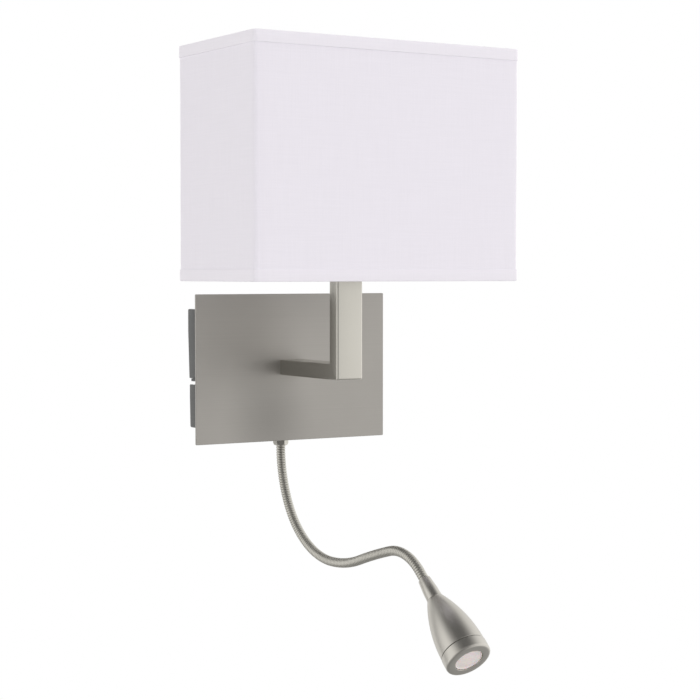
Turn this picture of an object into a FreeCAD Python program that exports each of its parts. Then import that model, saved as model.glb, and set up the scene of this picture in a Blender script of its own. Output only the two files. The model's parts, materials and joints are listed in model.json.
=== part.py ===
import FreeCAD, Part
import math
import os

# Wall light with a rectangular fabric shade on an L-shaped arm, two rocker switches on the
# side of its back box, and an LED reading head on a bendable gooseneck.
#
# Millimetres. The origin is the centre of the wall fixing, on the wall. +Z is up, +Y goes
# into the wall, so everything stands in front of it at negative Y, and X is left to right.

V = FreeCAD.Vector

# ---- driving dimensions -------------------------------------------------------------------
PLATE_WIDTH = 176.0
PLATE_HEIGHT = 120.0
PLATE_THICK = 2.0
PLATE_FRONT = -34.0

BOX_WIDTH = 143.0
BOX_HEIGHT = 106.0
BOX_SHEET = 1.2

ARM_WIDTH = 23.0
ARM_DEPTH = 12.5
ARM_WALL = 1.5
ARM_EDGE = 1.5
ARM_REACH = 90.0
ARM_TOP = 84.0

SHADE_WIDTH = 233.0
SHADE_DEPTH = 121.5
SHADE_HEIGHT = 179.8
SHADE_CENTRE_Y = -123.2
SHADE_BOTTOM = 70.7
SHADE_CORNER = 3.0
SHADE_SKIN = 1.2
HEM_TAPE = 0.6
HEM_HEIGHT = 9.0
FRAME_WIRE = 3.0

NECK_RADIUS = 3.75
NECK_BORE = 2.2
NECK_TOP = (-14.0, -65.6)
NECK_STEP = 44.0
NECK_TURNS = (26.4, 32.6, 30.7, 18.9, -4.5, -55.0)
NECK_END = 7.8
NECK_GAP = 0.3
NECK_LEAD = 1.2

HEAD_RADIUS = 17.0
HEAD_LENGTH = 75.2
COLLAR_LENGTH = 18.6
BEZEL_LENGTH = 9.6
LENS_RADIUS = 10.75

FIXING_SPACING = 80.0
FIXING_HOLE = 2.25

# ---- places worked out from them ----------------------------------------------------------
PLATE_BACK = PLATE_FRONT + PLATE_THICK
BOX_INNER = PLATE_BACK + BOX_SHEET
BOX_LEFT = -BOX_WIDTH / 2
BOX_BOTTOM = -BOX_HEIGHT / 2
ARM_FRONT = PLATE_FRONT - ARM_REACH
ARM_MID = ARM_FRONT + ARM_DEPTH / 2
SHADE_TOP = SHADE_BOTTOM + SHADE_HEIGHT
HOLDER_BASE = ARM_TOP + 5.0
RING_LEVEL = HOLDER_BASE + 35.0
TINY = 0.01

os.makedirs("parts", exist_ok=True)


# ---- helpers ------------------------------------------------------------------------------
def save(name, *solids):
    """Write one node: a single solid, or a group of separate ones."""
    shape = solids[0] if len(solids) == 1 else Part.makeCompound(list(solids))
    if not shape.isValid():
        raise SystemExit(name + " is not a valid solid")
    shape.exportStep("parts/" + name + ".step")
    print(name, len(shape.Solids), "solid(s)", round(shape.Volume, 1), "mm3")


def block(x, y, z):
    """A box between the two values given on each axis."""
    low = V(min(x), min(y), min(z))
    return Part.makeBox(abs(x[1] - x[0]), abs(y[1] - y[0]), abs(z[1] - z[0]), low)


def rod(start, direction, radius, length):
    return Part.makeCylinder(radius, length, start, direction)


def pipe(start, direction, radius, bore, length):
    return rod(start, direction, radius, length).cut(rod(start, direction, bore, length))


def hexagon(start, direction, across_flats, length, bore):
    """A hexagonal nut or bush with a round hole."""
    corner = across_flats / math.sqrt(3)
    points = []
    for step in range(7):
        angle = math.radians(60 * step + 30)
        points.append(V(corner * math.cos(angle), corner * math.sin(angle), 0))
    prism = Part.Face(Part.makePolygon(points)).extrude(V(0, 0, length))
    prism = prism.cut(rod(V(0, 0, 0), V(0, 0, 1), bore, length))
    prism.Placement = FreeCAD.Placement(start, FreeCAD.Rotation(V(0, 0, 1), direction))
    return prism


def long_edges(solid, direction):
    """The straight edges of a solid that run along a direction."""
    found = []
    for edge in solid.Edges:
        ends = edge.Vertexes[-1].Point - edge.Vertexes[0].Point
        if ends.Length > TINY and ends.cross(direction).Length < TINY * ends.Length:
            found.append(edge)
    return found


def rounded_block(x, y, z, radius, direction):
    solid = block(x, y, z)
    return solid.makeFillet(radius, long_edges(solid, direction))


def turned(profile, start, direction):
    """Turn a closed outline of (radius, distance along the axis) points and arcs.

    An entry with four values is an arc: the point it passes through, then its end.
    """
    edges = []
    here = V(profile[0][0], 0, profile[0][1])
    for entry in profile[1:] + profile[:1]:
        if len(entry) == 4:
            through = V(entry[0], 0, entry[1])
            there = V(entry[2], 0, entry[3])
            edges.append(Part.Arc(here, through, there).toShape())
        else:
            there = V(entry[0], 0, entry[1])
            if (there - here).Length > TINY:
                edges.append(Part.LineSegment(here, there).toShape())
        here = there
    solid = Part.Face(Part.Wire(edges)).revolve(V(0, 0, 0), V(0, 0, 1), 360)
    solid.Placement = FreeCAD.Placement(start, FreeCAD.Rotation(V(0, 0, 1), direction))
    return solid


def lead(points, radius, bend):
    """A round lead along straight runs joined by tangent arcs of one radius."""
    points = [V(*p) for p in points]
    edges = []
    start = points[0]
    for before, corner, after in zip(points, points[1:], points[2:]):
        incoming = (corner - before).normalize()
        outgoing = (after - corner).normalize()
        turn = incoming.getAngle(outgoing)
        back = bend * math.tan(turn / 2)
        enter = corner - incoming * back
        leave = corner + outgoing * back
        inward = (outgoing - incoming).normalize()
        middle = corner + inward * (bend / math.cos(turn / 2) - bend)
        edges.append(Part.LineSegment(start, enter).toShape())
        edges.append(Part.Arc(enter, middle, leave).toShape())
        start = leave
    edges.append(Part.LineSegment(start, points[-1]).toShape())
    path = Part.Wire(edges)
    circle = Part.Circle(points[0], (points[1] - points[0]).normalize(), radius)
    tube = path.makePipeShell([Part.Wire(circle.toShape())], True, False)
    expected = math.pi * radius ** 2 * path.Length
    print("lead of", round(path.Length, 1), "mm, volume ratio", round(tube.Volume / expected, 3))
    return tube


# ---- wall bracket -------------------------------------------------------------------------
BRACKET_SHEET = 2.0
BRACKET_HALF = 30.0
TAB_DEPTH = 15.0
SCREW_Y = -9.0
CABLE_ENTRY = 9.0
BOX_SCREW = 1.7
TOP_TAB = (-8.0, 8.0)
BOTTOM_TABS = ((-30.0, -14.0), (14.0, 30.0))


def bracket_tab(x, z):
    tab = block(x, (-TAB_DEPTH, 0), z)
    return tab.cut(rod(V(sum(x) / 2, SCREW_Y, min(z)), V(0, 0, 1), BOX_SCREW, BRACKET_SHEET))


def wall_bracket():
    """A flat steel strap against the wall, with tabs that the box is screwed to."""
    reach = -BOX_BOTTOM - BOX_SHEET - 0.2
    strap = block((-BRACKET_HALF, BRACKET_HALF), (-BRACKET_SHEET, 0), (-reach, reach))
    strap = strap.fuse(bracket_tab(TOP_TAB, (reach - BRACKET_SHEET, reach)))
    for x in BOTTOM_TABS:
        strap = strap.fuse(bracket_tab(x, (-reach, BRACKET_SHEET - reach)))
    for z in (-FIXING_SPACING / 2, FIXING_SPACING / 2):
        strap = strap.cut(rod(V(0, -BRACKET_SHEET, z), V(0, 1, 0), FIXING_HOLE, BRACKET_SHEET))
    cable_entry = rod(V(0, -BRACKET_SHEET, 0), V(0, 1, 0), CABLE_ENTRY, BRACKET_SHEET)
    return strap.cut(cable_entry).removeSplitter()


save("wall_bracket", wall_bracket())


def cap_screw(tip, direction, radius, length, head_radius, head_height):
    """A screw whose tip is at one point, with a slotted round head at the other end."""
    head_at = tip + direction * length
    head = rod(head_at, direction, head_radius, head_height)
    slot = block((-head_radius, head_radius), (-0.4, 0.4), (0, 1.0))
    slot.Placement = FreeCAD.Placement(
        head_at + direction * (head_height - 0.8), FreeCAD.Rotation(V(0, 0, 1), direction))
    return rod(tip, direction, radius, length).fuse(head).cut(slot)


SCREW_LENGTH = 5.0
screw_start = -BOX_BOTTOM - SCREW_LENGTH
box_screws = [cap_screw(V(0, SCREW_Y, screw_start), V(0, 0, 1), BOX_SCREW, SCREW_LENGTH, 4.0, 3.0)]
for x in BOTTOM_TABS:
    tip = V(sum(x) / 2, SCREW_Y, -screw_start)
    box_screws.append(cap_screw(tip, V(0, 0, -1), BOX_SCREW, SCREW_LENGTH, 4.0, 3.0))
save("box_screws", *box_screws)


# ---- back box and face plate --------------------------------------------------------------
GLAND_Y = NECK_TOP[0]
GLAND_STEM = 4.2
ARM_SCREW_X = 6.4
ARM_SCREW = 1.5
LEAD_HOLE = 2.6
STUD_X = 42.0
STUD_Z = 42.0
STUD = 2.0
STUD_PLACES = [(x, z) for x in (-STUD_X, STUD_X) for z in (-STUD_Z, STUD_Z)]

SWITCH_NEAR = -28.0
SWITCH_FAR = -6.0
MAIN_SPAN = (-10.5, 47.9)
READING_SPAN = (-48.1, -13.1)
SWITCH_CUTOUT = 13.0
EARTH_POINT = V(-BOX_LEFT, -16.0, 38.0)
EARTH_SCREW = 2.0


def front_holes(y, length):
    """The holes that the arm's screws and lead need through a front sheet."""
    holes = [rod(V(0, y, 0), V(0, 1, 0), LEAD_HOLE, length)]
    for x in (-ARM_SCREW_X, ARM_SCREW_X):
        holes.append(rod(V(x, y, 0), V(0, 1, 0), ARM_SCREW, length))
    return holes


def cutout_span(span):
    middle = sum(span) / 2
    return (middle - SWITCH_CUTOUT, middle + SWITCH_CUTOUT)


def back_box():
    """A folded steel box, open at the wall, that holds the switches and the wiring."""
    outer = rounded_block(
        (BOX_LEFT, -BOX_LEFT), (PLATE_BACK, 0), (BOX_BOTTOM, -BOX_BOTTOM), 2.0, V(0, 1, 0))
    inner = block(
        (BOX_LEFT + BOX_SHEET, -BOX_LEFT - BOX_SHEET), (BOX_INNER, 0),
        (BOX_BOTTOM + BOX_SHEET, -BOX_BOTTOM - BOX_SHEET))
    box = outer.cut(inner)
    holes = front_holes(PLATE_BACK, BOX_SHEET)
    for x, z in STUD_PLACES:
        holes.append(rod(V(x, PLATE_BACK, z), V(0, 1, 0), STUD, BOX_SHEET))
    for span in (MAIN_SPAN, READING_SPAN):
        side = (BOX_LEFT, BOX_LEFT + BOX_SHEET)
        holes.append(block(side, (SWITCH_NEAR + 2, SWITCH_FAR - 2), cutout_span(span)))
    holes.append(rod(V(0, GLAND_Y, BOX_BOTTOM), V(0, 0, 1), GLAND_STEM, BOX_SHEET))
    holes.append(rod(V(0, SCREW_Y, -BOX_BOTTOM - BOX_SHEET), V(0, 0, 1), BOX_SCREW, BOX_SHEET))
    for x in BOTTOM_TABS:
        holes.append(rod(V(sum(x) / 2, SCREW_Y, BOX_BOTTOM), V(0, 0, 1), BOX_SCREW, BOX_SHEET))
    holes.append(rod(EARTH_POINT, V(-1, 0, 0), EARTH_SCREW, BOX_SHEET))
    for hole in holes:
        box = box.cut(hole)
    return box


save("back_box", back_box())


def face_plate():
    """The brushed front plate with its four weld studs."""
    half_width = PLATE_WIDTH / 2
    half_height = PLATE_HEIGHT / 2
    plate = rounded_block(
        (-half_width, half_width), (PLATE_FRONT, PLATE_BACK), (-half_height, half_height),
        0.8, V(0, 1, 0))
    front = [e for e in plate.Edges if abs(e.BoundBox.YMax - PLATE_FRONT) < TINY]
    plate = plate.makeChamfer(0.25, front)
    for hole in front_holes(PLATE_FRONT, PLATE_THICK):
        plate = plate.cut(hole)
    for x, z in STUD_PLACES:
        plate = plate.fuse(rod(V(x, PLATE_BACK, z), V(0, 1, 0), STUD, 9.0))
    return plate


save("face_plate", face_plate())
save("plate_nuts", *[
    hexagon(V(x, BOX_INNER, z), V(0, 1, 0), 7.0, 3.2, STUD) for x, z in STUD_PLACES])


# ---- arm ----------------------------------------------------------------------------------
ARM_SPAN_X = (-ARM_WIDTH / 2, ARM_WIDTH / 2)
GRUB_Y = PLATE_FRONT - 4.5
GRUB = 1.5
PLUG_PLAY = 0.05


def arm_tube(y, z, direction):
    """A length of rectangular tube with rounded long edges."""
    outer = rounded_block(ARM_SPAN_X, y, z, ARM_EDGE, direction)
    inner_x = (ARM_SPAN_X[0] + ARM_WALL, ARM_SPAN_X[1] - ARM_WALL)
    if direction.y:
        inner = block(inner_x, y, (z[0] + ARM_WALL, z[1] - ARM_WALL))
    else:
        inner = block(inner_x, (y[0] + ARM_WALL, y[1] - ARM_WALL), z)
    return outer.cut(inner)


def mitre(above):
    """The half space on one side of the 45 degree cut through the elbow."""
    half = ARM_DEPTH / 2
    low = V(-ARM_WIDTH, ARM_FRONT - ARM_DEPTH, -half - ARM_DEPTH)
    high = V(-ARM_WIDTH, ARM_FRONT + 20 * ARM_DEPTH, -half + 20 * ARM_DEPTH)
    third = V(-ARM_WIDTH, low.y, high.z) if above else V(-ARM_WIDTH, high.y, low.z)
    outline = Part.Face(Part.makePolygon([low, high, third, low]))
    return outline.extrude(V(2 * ARM_WIDTH, 0, 0))


half_depth = ARM_DEPTH / 2
arm_horizontal = arm_tube((ARM_FRONT, PLATE_FRONT), (-half_depth, half_depth), V(0, 1, 0))
arm_horizontal = arm_horizontal.common(mitre(False))
grub_hole = rod(V(0, GRUB_Y, 0), V(0, 0, 1), GRUB, ARM_DEPTH)
save("arm_horizontal", arm_horizontal.cut(grub_hole))

arm_vertical = arm_tube((ARM_FRONT, ARM_FRONT + ARM_DEPTH), (-half_depth, ARM_TOP), V(0, 0, 1))
save("arm_vertical", arm_vertical.common(mitre(True)))

plug_x = ARM_WIDTH / 2 - ARM_WALL - PLUG_PLAY
plug_z = half_depth - ARM_WALL - PLUG_PLAY
PLUG_LENGTH = 14.0
end_block = block((-plug_x, plug_x), (PLATE_FRONT - PLUG_LENGTH, PLATE_FRONT), (-plug_z, plug_z))
for hole in front_holes(PLATE_FRONT - PLUG_LENGTH, PLUG_LENGTH) + [grub_hole]:
    end_block = end_block.cut(hole)
save("arm_end_block", end_block)

GRUB_LOW = 2.9
grub = rod(V(0, GRUB_Y, GRUB_LOW), V(0, 0, 1), GRUB, half_depth - 0.4 - GRUB_LOW)
key_socket = rod(V(0, GRUB_Y, half_depth - 1.6), V(0, 0, 1), GRUB / 2, 2.0)
save("arm_grub_screw", grub.cut(key_socket))

arm_screws = []
for x in (-ARM_SCREW_X, ARM_SCREW_X):
    length = BOX_INNER - (PLATE_FRONT - 10.0)
    arm_screws.append(cap_screw(
        V(x, PLATE_FRONT - 10.0, 0), V(0, 1, 0), ARM_SCREW, length, 3.0, 2.2))
save("arm_screws", *arm_screws)

CAP_THICK = 3.0
NIPPLE = 4.0
NIPPLE_BORE = 2.6
top_cap = rounded_block(
    ARM_SPAN_X, (ARM_FRONT, ARM_FRONT + ARM_DEPTH), (ARM_TOP, ARM_TOP + CAP_THICK),
    ARM_EDGE, V(0, 0, 1))
save("arm_top_cap", top_cap.cut(rod(V(0, ARM_MID, ARM_TOP), V(0, 0, 1), NIPPLE, CAP_THICK)))
save("holder_nipple", pipe(V(0, ARM_MID, ARM_TOP), V(0, 0, 1), NIPPLE, NIPPLE_BORE, 18.0))


# ---- lampholder and lamp ------------------------------------------------------------------
HOLDER_RADIUS = 19.5
SLEEVE_LENGTH = 34.0
CUP_HEIGHT = 19.0
SLEEVE_BASE = HOLDER_BASE + CUP_HEIGHT
THREAD = 13.2
UP = V(0, 0, 1)
holder_foot = V(0, ARM_MID, HOLDER_BASE)

save("lampholder_cup", turned([
    (NIPPLE, -2.0), (8.0, -2.0), (8.0, 1.0), (13.0, 1.0), (17.6, 3.6, HOLDER_RADIUS, 9.0),
    (HOLDER_RADIUS, CUP_HEIGHT), (HOLDER_RADIUS - 2.0, CUP_HEIGHT), (HOLDER_RADIUS - 2.0, 9.5),
    (16.0, 5.4, 12.0, 3.5), (NIPPLE, 3.5)], holder_foot, UP))

save("lampholder_sleeve", turned([
    (HOLDER_RADIUS, 0.0), (HOLDER_RADIUS, SLEEVE_LENGTH), (HOLDER_RADIUS - 2.0, SLEEVE_LENGTH),
    (HOLDER_RADIUS - 2.0, 0.0)], V(0, ARM_MID, SLEEVE_BASE), UP))

CORE_RADIUS = HOLDER_RADIUS - 2.1
core_base = V(0, ARM_MID, SLEEVE_BASE - 6.0)
CORE_LENGTH = 30.0
CORE_FLOOR = 9.0
core = rod(core_base, UP, CORE_RADIUS, CORE_LENGTH)
core = core.cut(rod(core_base + UP * CORE_FLOOR, UP, THREAD + 0.2, CORE_LENGTH))
core = core.cut(rod(core_base + UP * (CORE_FLOOR - 2.0), UP, 6.0, 2.0))
save("lampholder_core", core)
save("holder_contact", rod(core_base + UP * (CORE_FLOOR - 2.0), UP, 3.0, 1.6))

RING_THICK = 5.0
CARRIER_THICK = 2.0


def shade_ring(z):
    """A ring nut with finger notches, which screws on the lampholder."""
    ring = pipe(V(0, ARM_MID, z), UP, 26.0, HOLDER_RADIUS, RING_THICK)
    for step in range(12):
        angle = math.radians(30 * step)
        at = V(26.5 * math.cos(angle), ARM_MID + 26.5 * math.sin(angle), z)
        ring = ring.cut(rod(at, UP, 1.6, RING_THICK))
    return ring


save("shade_rings", shade_ring(RING_LEVEL - RING_THICK), shade_ring(RING_LEVEL + CARRIER_THICK))

BULB_SEAT = SLEEVE_BASE + 3.8
bulb_foot = V(0, ARM_MID, BULB_SEAT)
base_outline = [(0.0, -1.2), (4.0, -1.2), (5.0, 0.0), (THREAD - 2.5, 2.0)]
THREAD_TURNS = 6
for turn in range(THREAD_TURNS):
    low = 3.0 + 2.8 * turn
    base_outline += [(THREAD - 0.7, low), (THREAD, low + 1.0)]
    base_outline += [(THREAD, low + 1.6), (THREAD - 0.7, low + 2.6)]
base_outline += [(THREAD, 21.0), (THREAD, 25.0), (0.0, 25.0)]
save("bulb_base", turned(base_outline, bulb_foot, UP))

GLOBE = 29.0
GLOBE_CENTRE = 74.0
join = math.asin(15.5 / GLOBE)
neck_z = GLOBE_CENTRE - GLOBE * math.cos(join)
save("bulb_glass", turned([
    (0.0, 25.0), (THREAD - 0.2, 25.0), (THREAD + 0.4, 33.0, 15.5, neck_z),
    (GLOBE, GLOBE_CENTRE, 0.0, GLOBE_CENTRE + GLOBE),
    (0.0, GLOBE_CENTRE + GLOBE - 1.2), (GLOBE - 1.2, GLOBE_CENTRE, 14.5, neck_z),
    (THREAD - 0.8, 33.0, THREAD - 1.4, 26.5), (0.0, 26.5)], bulb_foot, UP))


# ---- shade --------------------------------------------------------------------------------
def shade_outline(inset, z, height):
    """A solid with the shade's plan, set in from its outer face."""
    half_width = SHADE_WIDTH / 2 - inset
    half_depth = SHADE_DEPTH / 2 - inset
    corner = max(SHADE_CORNER - inset, 0.5)
    return rounded_block(
        (-half_width, half_width), (SHADE_CENTRE_Y - half_depth, SHADE_CENTRE_Y + half_depth),
        (z, z + height), corner, UP)


def shade_band(outer, inner, z, height):
    return shade_outline(outer, z, height).cut(shade_outline(inner, z, height))


save("shade_panel", shade_band(0, SHADE_SKIN, SHADE_BOTTOM + HEM_TAPE, SHADE_HEIGHT - 2 * HEM_TAPE))

HEM_INSIDE = SHADE_SKIN + FRAME_WIRE
HEM_LIP = 3.4


def hem(edge, inward):
    """Binding tape folded over the panel's edge and the wire, inward being up or down."""
    low = min(edge, edge + inward * HEM_HEIGHT)
    fold = min(edge, edge + inward * HEM_TAPE)
    tape = shade_band(-HEM_TAPE, 0, low, HEM_HEIGHT)
    tape = tape.fuse(shade_band(0, HEM_INSIDE + HEM_TAPE, fold, HEM_TAPE))
    lip_low = min(edge, edge + inward * HEM_LIP)
    lip = shade_band(HEM_INSIDE, HEM_INSIDE + HEM_TAPE, lip_low, HEM_LIP)
    return tape.fuse(lip).removeSplitter()


save("shade_hems", hem(SHADE_BOTTOM, 1), hem(SHADE_TOP, -1))


def frame_wire(z):
    """A rectangular loop of round wire inside the shade's edge."""
    inset = SHADE_SKIN + FRAME_WIRE / 2
    half_width = SHADE_WIDTH / 2 - inset
    half_depth = SHADE_DEPTH / 2 - inset
    bend = 2.0
    radius = FRAME_WIRE / 2 - TINY
    pieces = []
    for side in (-1, 1):
        y = SHADE_CENTRE_Y + side * half_depth
        pieces.append(rod(V(-half_width + bend, y, z), V(1, 0, 0), radius, 2 * (half_width - bend)))
        x = side * half_width
        start = V(x, SHADE_CENTRE_Y - half_depth + bend, z)
        pieces.append(rod(start, V(0, 1, 0), radius, 2 * (half_depth - bend)))
    for across, along, turn in ((1, 1, 0), (-1, 1, 90), (-1, -1, 180), (1, -1, 270)):
        centre = V(across * (half_width - bend), SHADE_CENTRE_Y + along * (half_depth - bend), z)
        corner = Part.makeTorus(bend, radius, centre, UP, -180, 180, 90)
        corner.rotate(centre, UP, turn)
        pieces.append(corner)
    return pieces[0].multiFuse(pieces[1:])


LOWER_WIRE = SHADE_BOTTOM + HEM_TAPE + FRAME_WIRE / 2
save("shade_frames", frame_wire(LOWER_WIRE), frame_wire(SHADE_TOP - HEM_TAPE - FRAME_WIRE / 2))

SPOKE = 1.25
SPOKE_FOOT = 9.0


def shade_carrier():
    """A flat ring clamped on the lampholder, with four spokes down to the lower edge."""
    ring = pipe(V(0, ARM_MID, RING_LEVEL), UP, 28.0, HOLDER_RADIUS + 0.3, CARRIER_THICK)
    level = RING_LEVEL + CARRIER_THICK / 2
    foot = LOWER_WIRE + FRAME_WIRE / 2 + SPOKE
    spans = [
        (V(1, 0, 0), SHADE_WIDTH / 2), (V(-1, 0, 0), SHADE_WIDTH / 2),
        (V(0, 1, 0), SHADE_CENTRE_Y + SHADE_DEPTH / 2 - ARM_MID),
        (V(0, -1, 0), ARM_MID - SHADE_CENTRE_Y + SHADE_DEPTH / 2)]
    for outward, edge in spans:
        start = V(0, ARM_MID, level) + outward * 26.5
        shoulder = V(0, ARM_MID, level) + outward * 32.0
        heel = V(0, ARM_MID, foot) + outward * (edge - SHADE_SKIN - SPOKE_FOOT)
        run = heel - shoulder
        spoke = rod(start, outward, SPOKE, 5.5).fuse(Part.makeSphere(SPOKE, shoulder))
        spoke = spoke.fuse(rod(shoulder, run, SPOKE, run.Length))
        spoke = spoke.fuse(Part.makeSphere(SPOKE, heel))
        ring = ring.fuse(spoke).fuse(rod(heel, outward, SPOKE, SPOKE_FOOT - 0.2))
    return ring


save("shade_carrier", shade_carrier())


# ---- gooseneck ----------------------------------------------------------------------------
def neck_stations():
    """The hinge points along the neck and the direction of its centreline at each."""
    y, z = NECK_TOP
    heading = 0.0
    stations = [(V(0, y, z), V(0, 0, -1))]
    for turn in NECK_TURNS:
        sweep = math.radians(turn)
        chord = 2 * NECK_STEP / abs(sweep) * math.sin(abs(sweep) / 2)
        y -= chord * math.sin(heading + sweep / 2)
        z -= chord * math.cos(heading + sweep / 2)
        heading += sweep
        stations.append((V(0, y, z), V(0, -math.sin(heading), -math.cos(heading))))
    return stations


STATIONS = neck_stations()


def neck_rod(index, radius):
    """A round rod along one arc of the neck."""
    start, direction = STATIONS[index]
    turn = NECK_TURNS[index]
    bend = NECK_STEP / math.radians(abs(turn))
    side = 1 if turn > 0 else -1
    towards = V(0, direction.z, -direction.y) * side
    centre = start + towards * bend
    circle = Part.Face(Part.Wire(Part.Circle(start, direction, radius).toShape()))
    rod_along = circle.revolve(centre, V(-side, 0, 0), abs(turn))
    if rod_along.Volume < 0:
        rod_along.reverse()
    return rod_along


STUB = 4.0
SOCKET_DEPTH = 12.0
HEAD_LEAD = 60.0
LAST = len(NECK_TURNS) - 1


def neck_segment(index, radius):
    """One stretch of the neck: a ball at its far end, a cup at its near end."""
    start, _ = STATIONS[index]
    end, ahead = STATIONS[index + 1]
    body = neck_rod(index, radius)
    if index == 0:
        body = body.fuse(rod(start, UP, radius, STUB))
    if index == LAST:
        inside_head = SOCKET_DEPTH if radius > NECK_LEAD else HEAD_LEAD
        body = body.fuse(rod(end, ahead, radius, NECK_END + inside_head))
    elif radius > NECK_LEAD:
        body = body.fuse(Part.makeSphere(radius, end))
    if index > 0:
        body = body.cut(Part.makeSphere(NECK_RADIUS + NECK_GAP, start))
    return body


for index in range(len(NECK_TURNS)):
    start, behind = STATIONS[index]
    end, ahead = STATIONS[index + 1]
    hollow = neck_rod(index, NECK_BORE)
    hollow = hollow.fuse(rod(end, ahead, NECK_BORE, NECK_END + SOCKET_DEPTH))
    hollow = hollow.fuse(rod(start, behind * -1, NECK_BORE, SOCKET_DEPTH))
    save("neck_segment_" + str(index + 1), neck_segment(index, NECK_RADIUS).cut(hollow))
    save("neck_lead_" + str(index + 1), neck_segment(index, NECK_LEAD))
for point, _ in STATIONS:
    print("neck station", [round(c, 2) for c in point])

# gland in the bottom of the box
GLAND_FLATS = 11.0
nut_low = NECK_TOP[1]
nut_height = BOX_BOTTOM - nut_low
gland = hexagon(V(0, GLAND_Y, nut_low), UP, GLAND_FLATS, nut_height, NECK_RADIUS + 0.05)
stem_low = nut_low + STUB + 0.5
gland = gland.cut(rod(V(0, GLAND_Y, stem_low), UP, GLAND_STEM, nut_height))
save("gland_nut", gland)
STEM_BORE = 2.4
stem_top = BOX_BOTTOM + 8.0
save("gland_stem", pipe(V(0, GLAND_Y, stem_low), UP, GLAND_STEM, STEM_BORE, stem_top - stem_low))
lock_nut = hexagon(V(0, GLAND_Y, BOX_BOTTOM + BOX_SHEET), UP, 12.0, 4.0, GLAND_STEM)
save("gland_lock_nut", lock_nut)


# ---- reading head -------------------------------------------------------------------------
neck_end, HEAD_AXIS = STATIONS[-1]
head_at = neck_end + HEAD_AXIS * NECK_END
SEAM = 0.5
SHELL = 1.2
body_start = COLLAR_LENGTH
body_end = HEAD_LENGTH - BEZEL_LENGTH
BODY_NOSE = 6.3
COLLAR_NOSE = 4.5
COLLAR_MIDDLE = 5.6
COLLAR_END = 5.9


def ogive(nose, inset, at):
    """Radius of the head's bullet shape at a distance along its axis."""
    length = body_end - body_start
    rise = HEAD_RADIUS - nose
    bend = (length ** 2 + rise ** 2) / (2 * rise)
    return HEAD_RADIUS - bend + math.sqrt(bend ** 2 - (body_end - at) ** 2) - inset


def ogive_arc(inset, start, end):
    middle = (start + end) / 2
    return (ogive(BODY_NOSE, inset, middle), middle, ogive(BODY_NOSE, inset, end), end)


save("head_collar", turned([
    (NECK_RADIUS, 0.4), (NECK_RADIUS + 0.3, 0.0), (COLLAR_NOSE, 0.0),
    (COLLAR_NOSE + 0.3, 0.5), (COLLAR_MIDDLE, 10.0), (COLLAR_END, body_start),
    (COLLAR_END, body_start + 2.0), (NECK_BORE, body_start + 2.0), (NECK_BORE, SOCKET_DEPTH),
    (NECK_RADIUS, SOCKET_DEPTH)],
    head_at, HEAD_AXIS))

inner_start = body_start + 2.0
save("head_shell", turned([
    (COLLAR_END, body_start), (BODY_NOSE, body_start), ogive_arc(0, body_start, body_end),
    (HEAD_RADIUS - SHELL - 1.2, body_end), (HEAD_RADIUS - SHELL - 1.2, body_end - 6.0),
    (HEAD_RADIUS - 3.0, body_end - 8.0), ogive_arc(3.0, body_end - 8.0, body_start + 14.0),
    (COLLAR_END, inner_start)], head_at, HEAD_AXIS))

bezel_start = body_end + SEAM
EDGE = 3.0
BEZEL_RADIUS = HEAD_RADIUS + 0.3
THREAD_RADIUS = HEAD_RADIUS - SHELL - 1.3
corner = EDGE * (1 - math.sqrt(0.5))
save("head_bezel", turned([
    (BEZEL_RADIUS, bezel_start), (BEZEL_RADIUS, HEAD_LENGTH - EDGE),
    (BEZEL_RADIUS - corner, HEAD_LENGTH - corner, BEZEL_RADIUS - EDGE, HEAD_LENGTH),
    (LENS_RADIUS + 0.4, HEAD_LENGTH), (LENS_RADIUS, HEAD_LENGTH - 0.4),
    (LENS_RADIUS, HEAD_LENGTH - 1.2), (LENS_RADIUS + 0.8, HEAD_LENGTH - 1.2),
    (LENS_RADIUS + 0.8, HEAD_LENGTH - 2.8), (THREAD_RADIUS - 1.6, HEAD_LENGTH - 2.8),
    (THREAD_RADIUS - 1.6, body_end - 5.0), (THREAD_RADIUS, body_end - 5.0),
    (THREAD_RADIUS, bezel_start)], head_at, HEAD_AXIS))

lens_front = HEAD_LENGTH - 1.2
save("head_lens", turned([
    (0.0, lens_front + 0.5), (LENS_RADIUS - 0.4, lens_front), (LENS_RADIUS + 0.7, lens_front),
    (LENS_RADIUS + 0.7, lens_front - 1.5), (0.0, lens_front - 1.5)], head_at, HEAD_AXIS))

optic_front = lens_front - 1.5
optic_back = optic_front - 9.0
save("head_optic", turned([
    (0.0, optic_front), (10.2, optic_front), (10.2, optic_front - 1.4), (9.4, optic_front - 1.4),
    (8.4, optic_front - 5.0, 5.0, optic_back), (2.6, optic_back), (2.6, optic_back + 3.2),
    (0.0, optic_back + 3.2)], head_at, HEAD_AXIS))

board_front = optic_back - 0.1
BOARD = 1.6
chip_base = head_at + HEAD_AXIS * board_front
save("led_chip", rod(chip_base, HEAD_AXIS, 1.75, 0.8).fuse(
    Part.makeSphere(1.5, chip_base + HEAD_AXIS * 0.6).common(rod(chip_base, HEAD_AXIS, 2.0, 3.0))))
board_at = head_at + HEAD_AXIS * (board_front - BOARD)
save("led_board", pipe(board_at, HEAD_AXIS, 10.0, 0.8, BOARD))

SINK_LENGTH = 17.0
sink_front = board_front - BOARD
sink_at = head_at + HEAD_AXIS * (sink_front - SINK_LENGTH)
SINK_RADIUS = 11.6
sink = pipe(sink_at, HEAD_AXIS, SINK_RADIUS, 1.5, SINK_LENGTH)
FIN_GAP = 1.6
for fin in range(4):
    groove_at = sink_at + HEAD_AXIS * (1.6 + fin * 2 * FIN_GAP)
    sink = sink.cut(pipe(groove_at, HEAD_AXIS, SINK_RADIUS + 1, 6.5, FIN_GAP))
save("head_heat_sink", sink)


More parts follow.
